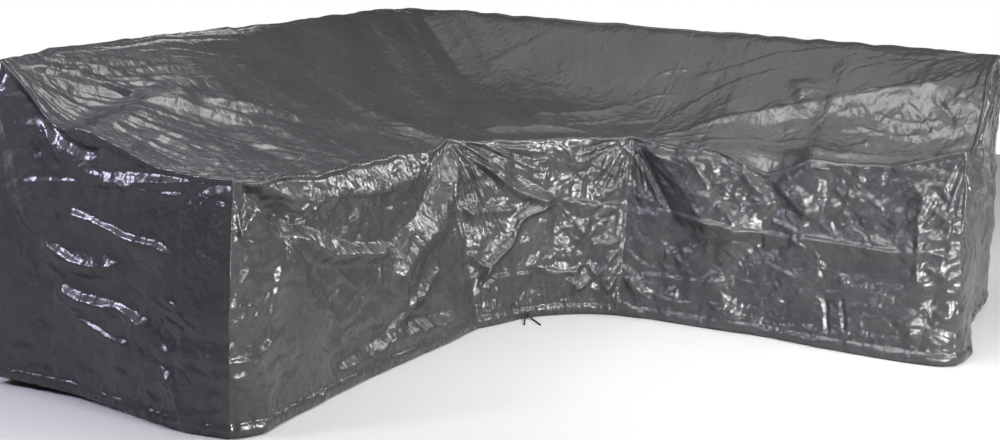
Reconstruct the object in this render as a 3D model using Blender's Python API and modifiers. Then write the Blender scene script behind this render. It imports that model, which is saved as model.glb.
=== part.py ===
"""An L-shaped fitted cover for corner patio furniture, in the shape in which it hangs.

Metres, +Z up.  Seen from above, X runs along the right wing and Y towards the back:

    G -------- S -------- F
    |          |          |
    |          |          |
    |       .  D -------- E
    |     C
    |     |
    A --- B

The roof is two panels that meet in the seam D-S, and each side of the outline has a wall.
"""

import functools
import math

import bmesh
import bpy
import numpy as np

WING_LENGTH = 2.15
LEFT_DEPTH = 0.70
RIGHT_DEPTH = 0.60
INNER_CUT = 0.435
CUT_X = LEFT_DEPTH + INNER_CUT
CUT_Y = -RIGHT_DEPTH - INNER_CUT
CLOTH = 0.0015
PIECE_GAP = 0.0004
HEM_HEIGHT = 0.035
HEM_BULGE = 0.004
PLAN_CENTRE = (1.081, -1.097)
CORNER_BLEND = 0.10
EDGE_FADE = 0.03
HEM_FADE = 0.12
HEM_FREEDOM = 0.4
ROOF_EDGE_SHARE = 0.06
CORNER_REACH = 0.30
FOLD_TAPER = 0.15
POINTS_PER_BEND = 6

# Angles between the cloths at a seam, in degrees.
SQUARE_CORNER = 90
SKEW_CORNER = 135
FRONT_CORNER = 112
BACK_CORNER = 66

# Columns and rows of cloth facets.
LEFT_COLUMNS = 24
CHAMFER_COLUMNS = 22
RIGHT_COLUMNS = 24
NEAR_D = 0.48
NEAR_D_COLUMNS = 14
ROOF_ROWS = 16
WALL_ROWS = 13
BACK_ROWS = 7

# The drawcord: its knot sits on the hem of the slanted wall, and its ends lie on the floor.  The
# knot's grooves turn with it, in radians per metre.  Each end leaves it (along the wall, out, up).
CORD_DIAMETER = 0.005
KNOT_PLACE = 0.245
KNOT_HEIGHT = 0.016
KNOT_RADIUS = 0.009
KNOT_SQUASH = 0.8
KNOT_GROOVE = 0.22
KNOT_TWIST = 60.0
TAIL_LEAVING = (0.65, 0.3, -0.7)
KNOT_SIDES = 16
TAIL_POINTS = 9
# Each free end: the side of the knot that it leaves, then rows of (metres along the wall from the
# knot, metres out from it, height over the floor).
TAILS = {
    "drawcord_tail_left": (
        -1,
        [(-0.011, 0.010, 0.0055), (-0.021, 0.032, 0.0029), (-0.035, 0.066, 0.0029)],
    ),
    "drawcord_tail_right": (
        1,
        [(0.010, 0.012, 0.0055), (0.013, 0.040, 0.0029), (0.012, 0.080, 0.0029)],
    ),
}

# Each corner: plan place, height of the roof there, how far the hem stands out in X and in Y,
# the hem's height over the floor, and how far the corner's line bows out half way down.
CORNERS = {
    "A": dict(x=0.0, y=-WING_LENGTH, top=0.846, hem=(-0.030, -0.030), lift=0.022, bow=0.010),
    "B": dict(x=LEFT_DEPTH, y=-WING_LENGTH, top=0.611, hem=(0.040, -0.080), lift=0.002, bow=0.028),
    "C": dict(x=LEFT_DEPTH, y=CUT_Y, top=0.565, hem=(0.135, -0.040), lift=0.002, bow=0.0),
    "D": dict(x=CUT_X, y=-RIGHT_DEPTH, top=0.557, hem=(0.010, -0.115), lift=0.002, bow=0.0),
    "E": dict(x=WING_LENGTH, y=-RIGHT_DEPTH, top=0.605, hem=(0.043, -0.125), lift=0.002, bow=0.012),
    "F": dict(x=WING_LENGTH, y=0.0, top=0.835, hem=(0.030, 0.040), lift=0.024, bow=0.012),
    "G": dict(x=0.0, y=0.0, top=0.872, hem=(-0.045, 0.045), lift=0.002, bow=0.015),
}

# Each wall: its two corners, how far it bellies out half way down, and rows of
# (metres from the first corner, metres outwards, height) for its roof edge and for its hem.
WALLS = {
    "skirt_left_end": dict(
        ends="AB",
        belly=0.0,
        edge=[
            (0.05, 0.0, 0.808),
            (0.09, 0.0, 0.768),
            (0.14, 0.004, 0.718),
            (0.19, 0.008, 0.690),
            (0.27, 0.006, 0.694),
            (0.33, 0.004, 0.672),
            (0.39, 0.004, 0.653),
            (0.46, 0.004, 0.629),
            (0.56, 0.002, 0.614),
        ],
        hem=[(0.20, 0.020, 0.012), (0.40, 0.050, 0.002), (0.60, 0.090, 0.002)],
    ),
    "skirt_inner_left": dict(
        ends="BC",
        belly=0.006,
        edge=[
            (0.03, 0.0, 0.602),
            (0.11, -0.006, 0.586),
            (0.21, -0.010, 0.583),
            (0.30, -0.004, 0.573),
            (0.41, 0.0, 0.564),
            (0.55, 0.0, 0.566),
            (0.66, 0.0, 0.562),
            (0.82, -0.004, 0.556),
            (0.99, -0.008, 0.543),
            (1.07, -0.004, 0.548),
        ],
        hem=[
            (0.04, 0.074, 0.002),
            (0.16, 0.085, 0.002),
            (0.40, 0.089, 0.002),
            (0.65, 0.101, 0.002),
            (0.91, 0.125, 0.002),
        ],
    ),
    "skirt_chamfer": dict(
        ends="CD",
        belly=0.012,
        edge=[(0.05, 0.0, 0.558), (0.20, 0.0, 0.556), (0.40, 0.0, 0.556), (0.56, 0.0, 0.555)],
        hem=[(0.10, 0.095, 0.002), (0.25, 0.043, 0.002), (0.36, 0.038, 0.004), (0.48, 0.042, 0.002)],
    ),
    "skirt_inner_right": dict(
        ends="DE",
        belly=0.004,
        edge=[
            (0.10, 0.0, 0.540),
            (0.25, 0.004, 0.543),
            (0.32, 0.004, 0.526),
            (0.38, 0.002, 0.500),
            (0.44, 0.0, 0.478),
            (0.50, 0.002, 0.506),
            (0.54, 0.004, 0.526),
            (0.70, 0.0, 0.535),
            (0.86, 0.0, 0.553),
            (0.96, 0.0, 0.588),
        ],
        hem=[
            (0.07, 0.104, 0.002),
            (0.29, 0.113, 0.002),
            (0.45, 0.109, 0.002),
            (0.61, 0.137, 0.002),
            (0.76, 0.154, 0.002),
            (0.91, 0.160, 0.002),
            (0.99, 0.146, 0.002),
        ],
    ),
    "skirt_right_end": dict(
        ends="EF",
        belly=0.006,
        edge=[
            (0.04, 0.0, 0.598),
            (0.13, 0.006, 0.593),
            (0.18, 0.010, 0.630),
            (0.24, 0.010, 0.690),
            (0.30, 0.006, 0.752),
            (0.36, 0.004, 0.790),
            (0.45, 0.0, 0.818),
        ],
        hem=[(0.03, 0.055, 0.002), (0.27, 0.025, 0.002), (0.46, 0.018, 0.010)],
    ),
    "skirt_back": dict(
        ends="FG",
        belly=0.010,
        edge=[(0.30, 0.0, 0.842), (0.80, 0.0, 0.851), (1.37, 0.0, 0.862), (1.95, 0.0, 0.872)],
        hem=[(0.30, 0.030, 0.010), (0.80, 0.040, 0.002), (1.30, 0.030, 0.002), (1.80, 0.045, 0.002)],
    ),
    "skirt_side": dict(
        ends="GA",
        belly=0.010,
        edge=[(0.20, 0.0, 0.875), (0.80, 0.0, 0.868), (1.40, 0.0, 0.866), (1.95, 0.0, 0.860)],
        hem=[(0.30, 0.045, 0.002), (0.80, 0.030, 0.002), (1.30, 0.040, 0.002), (1.80, 0.035, 0.008)],
    ),
}


def ease(x):
    """0 below 0, 1 above 1, and a smooth rise between."""
    x = np.clip(x, 0.0, 1.0)
    return x * x * (3.0 - 2.0 * x)


def through(rows, place):
    """The smooth curve through rows of (place, value, ...), read at each place."""
    rows = np.array(rows, float)
    knots = rows[:, 0]
    values = rows[:, 1:]
    slopes = np.gradient(values, knots, axis=0)
    first = np.clip(np.searchsorted(knots, place, side="right") - 1, 0, len(knots) - 2)
    span = knots[first + 1] - knots[first]
    w = (np.clip((place - knots[first]) / span, 0.0, 1.0))[:, None]
    span = span[:, None]
    start = values[first] * (1 + 2 * w) * (1 - w) ** 2 + slopes[first] * span * w * (1 - w) ** 2
    end = values[first + 1] * w * w * (3 - 2 * w) + slopes[first + 1] * span * w * w * (w - 1)
    return start + end


def wall_frame(name):
    """The wall's first corner, its length, and its directions along and outwards in plan."""
    first, last = (CORNERS[letter] for letter in WALLS[name]["ends"])
    step = np.array([last["x"] - first["x"], last["y"] - first["y"]])
    length = math.hypot(*step)
    along = step / length
    return np.array([first["x"], first["y"]]), length, along, np.array([along[1], -along[0]])


def wall_edge(name, u):
    """Points on the wall's roof edge, u metres from its first corner."""
    origin, length, along, out = wall_frame(name)
    first, last = (CORNERS[letter] for letter in WALLS[name]["ends"])
    rows = [(0.0, 0.0, first["top"]), *WALLS[name]["edge"], (length, 0.0, last["top"])]
    side = through(rows, u)
    plan = origin + u[:, None] * along + side[:, :1] * out
    return np.column_stack([plan, side[:, 1]])


def wall_hem(name, u):
    """Points on the wall's hem, straight below the roof edge or further out."""
    origin, length, along, out = wall_frame(name)
    first, last = (CORNERS[letter] for letter in WALLS[name]["ends"])
    rows = [
        (0.0, np.dot(first["hem"], out), first["lift"]),
        *WALLS[name]["hem"],
        (length, np.dot(last["hem"], out), last["lift"]),
    ]
    side = through(rows, u)
    spread = np.dot(first["hem"], along) * (1 - u / length) + np.dot(last["hem"], along) * u / length
    plan = origin + (u + spread)[:, None] * along + side[:, :1] * out
    return np.column_stack([plan, side[:, 1]])


def wall_points(name, u, t):
    """Points on a wall: u metres from its first corner, t from 0 at the roof to 1 at the hem."""
    _, length, along, out = wall_frame(name)
    first, last = (CORNERS[letter] for letter in WALLS[name]["ends"])
    top = wall_edge(name, u)
    hem = wall_hem(name, u)
    points = top + (hem - top) * t[:, None]
    reach = min(CORNER_REACH, length / 2)
    near_first = 1 - ease(u / reach)
    near_last = 1 - ease((length - u) / reach)
    arch = 4 * t * (1 - t)
    for corner, near in ((first, near_first), (last, near_last)):
        direction = np.array(corner["hem"]) / math.hypot(*corner["hem"])
        points[:, :2] += (corner["bow"] * near * arch)[:, None] * direction
    belly = WALLS[name]["belly"] * arch * (1 - near_first) * (1 - near_last)
    points[:, :2] += belly[:, None] * out
    return points


# How the roof runs between its front and back edges: (share of the way back, height over a
# straight line).  CORNER_SAG is how far the roof hangs lower in the middle over the corner.
ROOF_PROFILE = [(0.0, 0.0), (0.25, -0.014), (0.55, -0.012), (0.80, 0.012), (0.92, 0.016), (1.0, 0.0)]
CORNER_SAG = 0.055
CORNER_SAG_REACH = 0.80
END_REACH = 0.60


def roof_outer(v):
    """Points on the roof's back edges for the main panel's columns: A to P, P to G and G to S."""
    inner_left = wall_frame("skirt_inner_left")[1]
    half = wall_frame("skirt_chamfer")[1] / 2
    past_left = inner_left + (v - inner_left) / half * (WING_LENGTH - inner_left)
    from_end = np.where(v < inner_left, v, past_left)
    on_side = v <= inner_left + half
    side = wall_edge("skirt_side", np.clip(WING_LENGTH - from_end, 0, WING_LENGTH))
    past_corner = np.clip((v - inner_left - half) / half, 0, 1) * CUT_X
    back = wall_edge("skirt_back", WING_LENGTH - past_corner)
    return np.where(on_side[:, None], side, back)


def roof_between(inner, outer, t, end_shape, near_end, from_corner):
    """Points t of the way from the front edge to the back one, with the roof's own sag."""
    points = inner + (outer - inner) * t[:, None]
    points += end_shape * near_end[:, None]
    profile = through(ROOF_PROFILE, t)[:, 0] * (1 - near_end)
    near_corner = 1 - ease(from_corner / CORNER_SAG_REACH)
    points[:, 2] += profile - CORNER_SAG * 4 * t * (1 - t) * near_corner
    return points


def main_roof_points(v, t):
    """Points on the roof over the left wing and the corner, v metres from B along B-C-D."""
    inner_left = wall_frame("skirt_inner_left")[1]
    chamfer = wall_frame("skirt_chamfer")[1]
    along_left = wall_edge("skirt_inner_left", np.clip(v, 0, inner_left))
    along_chamfer = wall_edge("skirt_chamfer", np.clip(v - inner_left, 0, chamfer))
    inner = np.where((v <= inner_left)[:, None], along_left, along_chamfer)
    end = wall_edge("skirt_left_end", (1 - t) * LEFT_DEPTH)
    b, a = wall_edge("skirt_left_end", np.array([LEFT_DEPTH, 0.0]))
    end_shape = end - (b + (a - b) * t[:, None])
    near_end = 1 - ease(v / END_REACH)
    from_corner = np.abs(v - inner_left - chamfer / 2)
    return roof_between(inner, roof_outer(v), t, end_shape, near_end, from_corner)


def wing_roof_points(v, t):
    """Points on the roof over the right wing, v metres from the seam D-S."""
    length = wall_frame("skirt_inner_right")[1]
    inner = wall_edge("skirt_inner_right", v)
    outer = wall_edge("skirt_back", length - v)
    end = wall_edge("skirt_right_end", t * RIGHT_DEPTH)
    e, f = wall_edge("skirt_right_end", np.array([0.0, RIGHT_DEPTH]))
    end_shape = end - (e + (f - e) * t[:, None])
    near_end = 1 - ease((length - v) / END_REACH)
    from_corner = wall_frame("skirt_chamfer")[1] / 2 + v
    return roof_between(inner, outer, t, end_shape, near_end, from_corner)


# Folds, as rows of (height, width on the left of the route, width on its right, route).  A route on
# the walls is (metres round the outline from A, height over the floor), one on the roof is (x, y).
WALL_FOLDS = [
    # The left end: pulled folds under its back corner, and long creases towards the front one.
    (
        0.024, 0.030, 0.030,
        [
            (0.02, 0.82), (0.06, 0.72), (0.08, 0.62),
            (0.11, 0.55), (0.14, 0.47), (0.14, 0.38),
        ],
    ),
    (0.012, 0.030, 0.030, [(0.14, 0.42), (0.20, 0.37), (0.27, 0.36), (0.38, 0.38)]),
    (0.018, 0.030, 0.030, [(0.15, 0.67), (0.21, 0.62), (0.28, 0.58), (0.40, 0.58), (0.58, 0.60)]),
    (-0.022, 0.040, 0.030, [(0.03, 0.79), (0.10, 0.71), (0.17, 0.65), (0.25, 0.63), (0.36, 0.64)]),
    (0.008, 0.030, 0.030, [(0.20, 0.49), (0.41, 0.44), (0.55, 0.41)]),
    (0.010, 0.030, 0.030, [(0.18, 0.30), (0.33, 0.26), (0.49, 0.23)]),
    # The inner left wall: a deep fold and a ridge from its front corner, a swag, and a ridge from C.
    (-0.038, 0.040, 0.038, [(0.74, 0.61), (0.81, 0.57), (0.87, 0.52), (0.94, 0.47)]),
    (
        0.026, 0.038, 0.045,
        [
            (0.72, 0.58), (0.78, 0.53), (0.83, 0.47),
            (0.91, 0.38), (0.97, 0.31), (1.03, 0.26),
        ],
    ),
    (
        0.020, 0.050, 0.030,
        [
            (0.80, 0.57), (0.99, 0.52), (1.20, 0.50),
            (1.41, 0.48), (1.50, 0.49), (1.68, 0.52),
        ],
    ),
    (
        0.026, 0.060, 0.030,
        [
            (0.91, 0.48), (0.99, 0.42), (1.10, 0.37), (1.24, 0.35),
            (1.40, 0.33), (1.55, 0.35), (1.66, 0.39),
        ],
    ),
    (
        0.028, 0.035, 0.035,
        [
            (1.81, 0.55), (1.78, 0.50), (1.73, 0.45),
            (1.67, 0.41), (1.59, 0.37), (1.50, 0.33),
        ],
    ),
    (0.012, 0.030, 0.030, [(1.66, 0.24), (1.56, 0.19), (1.46, 0.13), (1.38, 0.06)]),
    (-0.022, 0.040, 0.040, [(1.05, 0.06), (1.25, 0.09), (1.45, 0.10), (1.70, 0.08)]),
    # The slanted wall.
    (0.022, 0.030, 0.030, [(1.87, 0.51), (1.97, 0.46), (2.07, 0.42), (2.18, 0.37)]),
    (
        0.014, 0.030, 0.030,
        [
            (2.18, 0.37), (2.11, 0.34), (2.04, 0.31),
            (2.00, 0.25), (1.94, 0.20), (1.84, 0.13),
        ],
    ),
    (0.014, 0.030, 0.030, [(2.24, 0.07), (2.34, 0.13), (2.42, 0.19)]),
    (0.014, 0.030, 0.030, [(2.33, 0.06), (2.43, 0.12), (2.54, 0.07)]),
    # The inner right wall: a ridge and a deep valley from D, and folds under the dip in its edge.
    (
        0.028, 0.045, 0.070,
        [
            (2.43, 0.53), (2.46, 0.45), (2.51, 0.39),
            (2.60, 0.30), (2.70, 0.21), (2.76, 0.17),
        ],
    ),
    (
        -0.045, 0.065, 0.050,
        [
            (2.51, 0.53), (2.56, 0.45), (2.61, 0.38),
            (2.69, 0.29), (2.79, 0.21), (2.93, 0.13),
        ],
    ),
    (0.016, 0.030, 0.030, [(2.80, 0.49), (2.84, 0.44), (2.90, 0.38)]),
    (0.014, 0.030, 0.030, [(2.90, 0.47), (2.96, 0.42), (3.02, 0.37)]),
    (0.010, 0.030, 0.030, [(2.60, 0.34), (2.86, 0.32), (3.10, 0.31), (3.36, 0.31)]),
    (0.012, 0.035, 0.035, [(3.35, 0.52), (3.33, 0.42), (3.33, 0.30), (3.34, 0.18)]),
    (-0.010, 0.030, 0.030, [(3.07, 0.16), (3.09, 0.04)]),
    # The right end.
    (0.020, 0.030, 0.030, [(3.76, 0.76), (3.68, 0.68), (3.60, 0.58), (3.56, 0.45)]),
    # The two long back walls, which have only a few broad folds.
    (0.014, 0.050, 0.050, [(4.08, 0.78), (4.25, 0.58), (4.38, 0.38), (4.44, 0.16)]),
    (-0.010, 0.060, 0.060, [(4.70, 0.74), (4.85, 0.45), (4.90, 0.14)]),
    (0.010, 0.060, 0.060, [(5.20, 0.70), (5.30, 0.40), (5.28, 0.08)]),
    (0.014, 0.050, 0.050, [(6.16, 0.82), (5.96, 0.60), (5.84, 0.36), (5.80, 0.12)]),
    (0.014, 0.050, 0.050, [(6.23, 0.82), (6.42, 0.62), (6.54, 0.38), (6.60, 0.12)]),
    (-0.010, 0.060, 0.060, [(6.90, 0.76), (7.02, 0.46), (7.06, 0.14)]),
    (0.010, 0.060, 0.060, [(7.50, 0.72), (7.60, 0.42), (7.58, 0.08)]),
    (0.014, 0.050, 0.050, [(8.31, 0.78), (8.14, 0.58), (8.02, 0.38), (7.96, 0.16)]),
]
ROOF_FOLDS = [
    # The corner's bowl: a fill that rounds the valley between the two back slopes.
    (0.026, 0.200, 0.200, [(0.02, -0.02), (0.30, -0.27), (0.60, -0.54), (0.90, -0.80)]),
    # Pulled bands from the left wing's back corner to the inner corner C.
    (
        0.016, 0.040, 0.040,
        [
            (0.04, -2.10), (0.08, -2.03), (0.14, -1.92),
            (0.23, -1.84), (0.33, -1.76), (0.48, -1.58),
        ],
    ),
    (-0.012, 0.035, 0.035, [(0.11, -2.06), (0.18, -1.98), (0.28, -1.90), (0.38, -1.81)]),
    (0.012, 0.040, 0.030, [(0.41, -1.46), (0.47, -1.28), (0.57, -1.12), (0.69, -1.03)]),
    # The long ridge from D to the right wing's back corner, and the valley behind it.
    (
        0.022, 0.040, 0.040,
        [
            (1.15, -0.58), (1.25, -0.50), (1.40, -0.44),
            (1.69, -0.32), (1.91, -0.24), (2.12, -0.07),
        ],
    ),
    (-0.012, 0.035, 0.035, [(1.30, -0.41), (1.45, -0.34), (1.70, -0.25), (1.92, -0.17)]),
    # Pulled folds beside the seam, and one along the right wing's front edge.
    (0.010, 0.035, 0.035, [(1.08, -0.38), (0.96, -0.43), (0.85, -0.53), (0.79, -0.62)]),
    (0.010, 0.030, 0.030, [(1.09, -0.57), (0.91, -0.67), (0.78, -0.78)]),
    (0.014, 0.030, 0.030, [(1.60, -0.52), (1.81, -0.53), (2.08, -0.48)]),
]


def route_points(route):
    """A fold's route as a smooth line of many points."""
    corners = np.array(route, float)
    steps = np.hypot(*np.diff(corners, axis=0).T)
    place = np.concatenate([[0.0], np.cumsum(steps)])
    rows = np.column_stack([place, corners])
    return through(rows, np.linspace(0.0, place[-1], POINTS_PER_BEND * len(route)))


def fold_depth(places, folds):
    """How far the folds lift the cloth at each flat place."""
    depth = np.zeros(len(places))
    for height, left_width, right_width, route in folds:
        line = route_points(route)
        start = line[:-1]
        step = line[1:] - start
        offset = places[:, None, :] - start
        share = np.clip((offset * step).sum(2) / (step * step).sum(1), 0.0, 1.0)
        away = offset - share[:, :, None] * step
        nearest = np.argmin((away * away).sum(2), axis=1)
        row = np.arange(len(places))
        away = away[row, nearest]
        side = step[nearest, 0] * away[:, 1] - step[nearest, 1] * away[:, 0]
        width = np.where(side > 0, left_width, right_width)
        progress = (nearest + share[row, nearest]) / len(step)
        taper = ease(progress / FOLD_TAPER) * ease((1 - progress) / FOLD_TAPER)
        depth += height * taper * np.exp(-(away * away).sum(1) / width**2)
    return depth


def wall_start(name):
    """Metres round the outline from A to the wall's first corner."""
    names = list(WALLS)
    return sum(wall_frame(other)[1] for other in names[: names.index(name)])


def folded_wall(name, u, t):
    """Points on the wall with its folds and the bulge of its hem casing."""
    _, length, _, out = wall_frame(name)
    names = list(WALLS)
    before = wall_frame(names[names.index(name) - 1])[3]
    after = wall_frame(names[(names.index(name) + 1) % len(names)])[3]
    points = wall_points(name, u, t)
    to_first = 0.5 * (1 - ease(u / CORNER_BLEND))
    to_last = 0.5 * (1 - ease((length - u) / CORNER_BLEND))
    direction = out + np.outer(to_first, before - out) + np.outer(to_last, after - out)
    direction /= np.hypot(*direction.T)[:, None]
    below_edge = wall_edge(name, u)[:, 2] - points[:, 2]
    over_hem = points[:, 2] - wall_hem(name, u)[:, 2]
    places = np.column_stack([wall_start(name) + u, points[:, 2]])
    near_hem = HEM_FREEDOM + (1 - HEM_FREEDOM) * ease(over_hem / HEM_FADE)
    depth = fold_depth(places, WALL_FOLDS) * near_hem * ease(below_edge / EDGE_FADE)
    depth += HEM_BULGE * np.sin(math.pi * np.clip(over_hem / HEM_HEIGHT, 0, 1))
    points[:, :2] += depth[:, None] * direction
    return points


def folded_roof(points, t, from_end):
    """The roof's points with its folds, which fade out at its three sewn edges."""
    depth = fold_depth(points[:, :2], ROOF_FOLDS)
    to_front = ease(t / ROOF_EDGE_SHARE)
    to_back = ease((1 - t) / ROOF_EDGE_SHARE)
    points[:, 2] += depth * to_front * to_back * ease(from_end / EDGE_FADE)
    return points


def folded_main_roof(v, t):
    return folded_roof(main_roof_points(v, t), t, v)


def folded_wing_roof(v, t):
    return folded_roof(wing_roof_points(v, t), t, wall_frame("skirt_inner_right")[1] - v)


def seam_trim(angle):
    """How far a panel stops short of a seam where two cloths meet at this angle in degrees."""
    turn = math.radians(angle)
    return (CLOTH / 2 * (1 + math.cos(turn)) + PIECE_GAP) / math.sin(turn)


def trimmed(values, first, last):
    """The same places with the two end ones moved inwards."""
    values = np.array(values, float)
    values[0] += first
    values[-1] -= last
    return values


def panel(name, collection, cloth_at, u, t):
    """A sheet of cloth through cloth_at(u[column], t[row][column]), split along its folds."""
    rows, columns = t.shape
    origin = np.array([*PLAN_CENTRE, 0.0])
    corners = np.array([cloth_at(u, row) for row in t]) - origin
    middle_u = (u[1:] + u[:-1]) / 2
    middle_t = (t[1:, 1:] + t[1:, :-1] + t[:-1, 1:] + t[:-1, :-1]) / 4
    middles = np.array([cloth_at(middle_u, row) for row in middle_t]) - origin
    shape = bmesh.new()
    bmesh.ops.create_grid(shape, x_segments=columns - 1, y_segments=rows - 1, size=0.5)
    splits = {"FIXED": [], "ALTERNATE": []}
    places = {}
    for vertex in shape.verts:
        column = round((vertex.co.x + 0.5) * (columns - 1))
        row = round((vertex.co.y + 0.5) * (rows - 1))
        places[vertex] = (row, column)
    for vertex, place in places.items():
        vertex.co = corners[place]
    for face in shape.faces:
        low_row = min(places[vertex][0] for vertex in face.verts)
        low_column = min(places[vertex][1] for vertex in face.verts)
        middle = middles[low_row, low_column]
        ends = [np.array(vertex.co) for vertex in face.verts]
        miss = np.linalg.norm((ends[0] + ends[2]) / 2 - middle)
        other_miss = np.linalg.norm((ends[1] + ends[3]) / 2 - middle)
        splits["FIXED" if miss <= other_miss else "ALTERNATE"].append(face)
    for method, faces in splits.items():
        bmesh.ops.triangulate(shape, faces=faces, quad_method=method)
    mesh = bpy.data.meshes.new(name)
    shape.to_mesh(mesh)
    shape.free()
    sheet = bpy.data.objects.new(name, mesh)
    collection.objects.link(sheet)
    solid = sheet.modifiers.new("cloth", "SOLIDIFY")
    solid.thickness = CLOTH
    solid.offset = 0.0
    return sheet


def main_roof_columns():
    """The main roof panel's columns, as metres from B along B-C-D, before trimming."""
    inner_left = wall_frame("skirt_inner_left")[1]
    chamfer = wall_frame("skirt_chamfer")[1]
    along_left = np.linspace(0, inner_left, LEFT_COLUMNS + 1)
    along_chamfer = inner_left + np.linspace(0, chamfer, CHAMFER_COLUMNS + 1)
    return np.concatenate([along_left, along_chamfer[1:]])


def right_columns():
    """The right wing's columns, closer together beside D, where its deepest fold runs."""
    length = wall_frame("skirt_inner_right")[1]
    near = np.linspace(0, NEAR_D, NEAR_D_COLUMNS + 1)
    far = np.linspace(NEAR_D, length, RIGHT_COLUMNS - NEAR_D_COLUMNS + 1)
    return np.concatenate([near, far[1:]])


def wall_columns(name):
    """The wall's columns, which meet those of the roof panel above it."""
    length = wall_frame(name)[1]
    inner_left = wall_frame("skirt_inner_left")[1]
    wing = wall_frame("skirt_inner_right")[1]
    past_left = np.linspace(inner_left, WING_LENGTH, CHAMFER_COLUMNS // 2 + 1)[1:]
    if name == "skirt_side":
        from_end = np.concatenate([np.linspace(0, inner_left, LEFT_COLUMNS + 1), past_left])
        return WING_LENGTH - from_end[::-1]
    if name == "skirt_back":
        to_seam = wing - right_columns()[::-1]
        return np.concatenate([to_seam, np.linspace(wing, length, CHAMFER_COLUMNS // 2 + 1)[1:]])
    if name == "skirt_inner_right":
        return right_columns()
    counts = {"skirt_inner_left": LEFT_COLUMNS, "skirt_chamfer": CHAMFER_COLUMNS}
    return np.linspace(0, length, counts.get(name, ROOF_ROWS) + 1)


def wall_panel(name, collection):
    length = wall_frame(name)[1]
    angles = [SKEW_CORNER if letter in "CD" else SQUARE_CORNER for letter in WALLS[name]["ends"]]
    u = trimmed(wall_columns(name), *map(seam_trim, angles))
    under_back = name in ("skirt_back", "skirt_side")
    drop = np.linalg.norm(wall_edge(name, u) - wall_hem(name, u), axis=1)
    top = seam_trim(BACK_CORNER if under_back else FRONT_CORNER) / drop
    casing = 1 - HEM_HEIGHT / drop
    body_rows = BACK_ROWS if under_back else WALL_ROWS
    rows = [top + (casing - top) * share for share in np.linspace(0, 1, body_rows + 1)]
    rows += [(casing + 1) / 2, np.ones_like(u)]
    return panel(name, collection, functools.partial(folded_wall, name), u, np.array(rows[::-1]))


def roof_shares(depth):
    """Shares of the way back for the roof's rows, trimmed at its front and back seams."""
    front = seam_trim(FRONT_CORNER) / depth
    back = seam_trim(BACK_CORNER) / depth
    return trimmed(np.linspace(0, 1, ROOF_ROWS + 1), front, back)


def main_roof_panel(collection):
    v = trimmed(main_roof_columns(), seam_trim(SQUARE_CORNER), PIECE_GAP / 2)
    t = np.outer(roof_shares(LEFT_DEPTH), np.ones_like(v))
    return panel("top_main", collection, folded_main_roof, v, t)


def wing_roof_panel(collection):
    v = trimmed(right_columns(), PIECE_GAP / 2, seam_trim(SQUARE_CORNER))
    t = np.outer(roof_shares(RIGHT_DEPTH), np.ones_like(v))
    return panel("top_wing", collection, folded_wing_roof, v, t)


def drawcord(collection):
    """The drawcord's knot against the hem of the slanted wall, and its two free ends."""
    wall = "skirt_chamfer"
    u = np.array([KNOT_PLACE])
    drop = wall_edge(wall, u)[:, 2] - wall_hem(wall, u)[:, 2]
    hem = folded_wall(wall, u, 1 - KNOT_HEIGHT / drop)[0]
    out = wall_frame(wall)[3]
    stand_off = CLOTH / 2 + PIECE_GAP + KNOT_RADIUS * KNOT_SQUASH
    centre = hem + stand_off * np.array([*out, 0.0]) - np.array([*PLAN_CENTRE, 0.0])
    ball = bmesh.new()
    bmesh.ops.create_uvsphere(ball, u_segments=KNOT_SIDES, v_segments=KNOT_SIDES // 2, radius=KNOT_RADIUS)
    turn = math.atan2(out[1], out[0])
    for vertex in ball.verts:
        around = math.atan2(vertex.co.y, vertex.co.z)
        vertex.co *= 1 - KNOT_GROOVE * math.cos(2 * around + KNOT_TWIST * vertex.co.x) ** 2
        vertex.co.x *= KNOT_SQUASH
        x, y = vertex.co.x, vertex.co.y
        vertex.co.x = x * math.cos(turn) - y * math.sin(turn)
        vertex.co.y = x * math.sin(turn) + y * math.cos(turn)
    mesh = bpy.data.meshes.new("drawcord_knot")
    ball.to_mesh(mesh)
    ball.free()
    knot = bpy.data.objects.new("drawcord_knot", mesh)
    knot.location = centre
    collection.objects.link(knot)
    return [knot, *(cord_tail(name, centre, collection) for name in TAILS)]


def cord_tail(name, knot_centre, collection):
    """A free end of the drawcord, from the knot's side down to the floor and out along it."""
    side, rows = TAILS[name]
    _, _, along, out = wall_frame("skirt_chamfer")
    leaving_along, leaving_out, leaving_up = TAIL_LEAVING
    leaving = np.array([*(leaving_along * side * along + leaving_out * out), leaving_up])
    start = knot_centre + (KNOT_RADIUS + PIECE_GAP) * leaving / np.linalg.norm(leaving)
    corners = [start]
    for metres_along, metres_out, height in rows:
        corners.append([*(knot_centre[:2] + metres_along * along + metres_out * out), height])
    corners = np.array(corners)
    steps = np.linalg.norm(np.diff(corners, axis=0), axis=1)
    place = np.concatenate([[0.0], np.cumsum(steps)])
    points = through(np.column_stack([place, corners]), np.linspace(0, place[-1], TAIL_POINTS))
    curve = bpy.data.curves.new(name, "CURVE")
    curve.dimensions = "3D"
    curve.bevel_depth = CORD_DIAMETER / 2
    curve.bevel_resolution = 2
    curve.use_fill_caps = True
    spline = curve.splines.new("POLY")
    spline.points.add(TAIL_POINTS - 1)
    for spot, point in zip(spline.points, points):
        spot.co = (*point, 1.0)
    tail = bpy.data.objects.new(name, curve)
    collection.objects.link(tail)
    return tail


def cloth_material():
    material = bpy.data.materials.new("coated woven cloth")
    material.use_nodes = True
    shader = material.node_tree.nodes["Principled BSDF"]
    shader.inputs["Base Color"].default_value = (0.075, 0.073, 0.076, 1.0)
    shader.inputs["Roughness"].default_value = 0.38
    shader.inputs["Metallic"].default_value = 0.0
    return material


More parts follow.
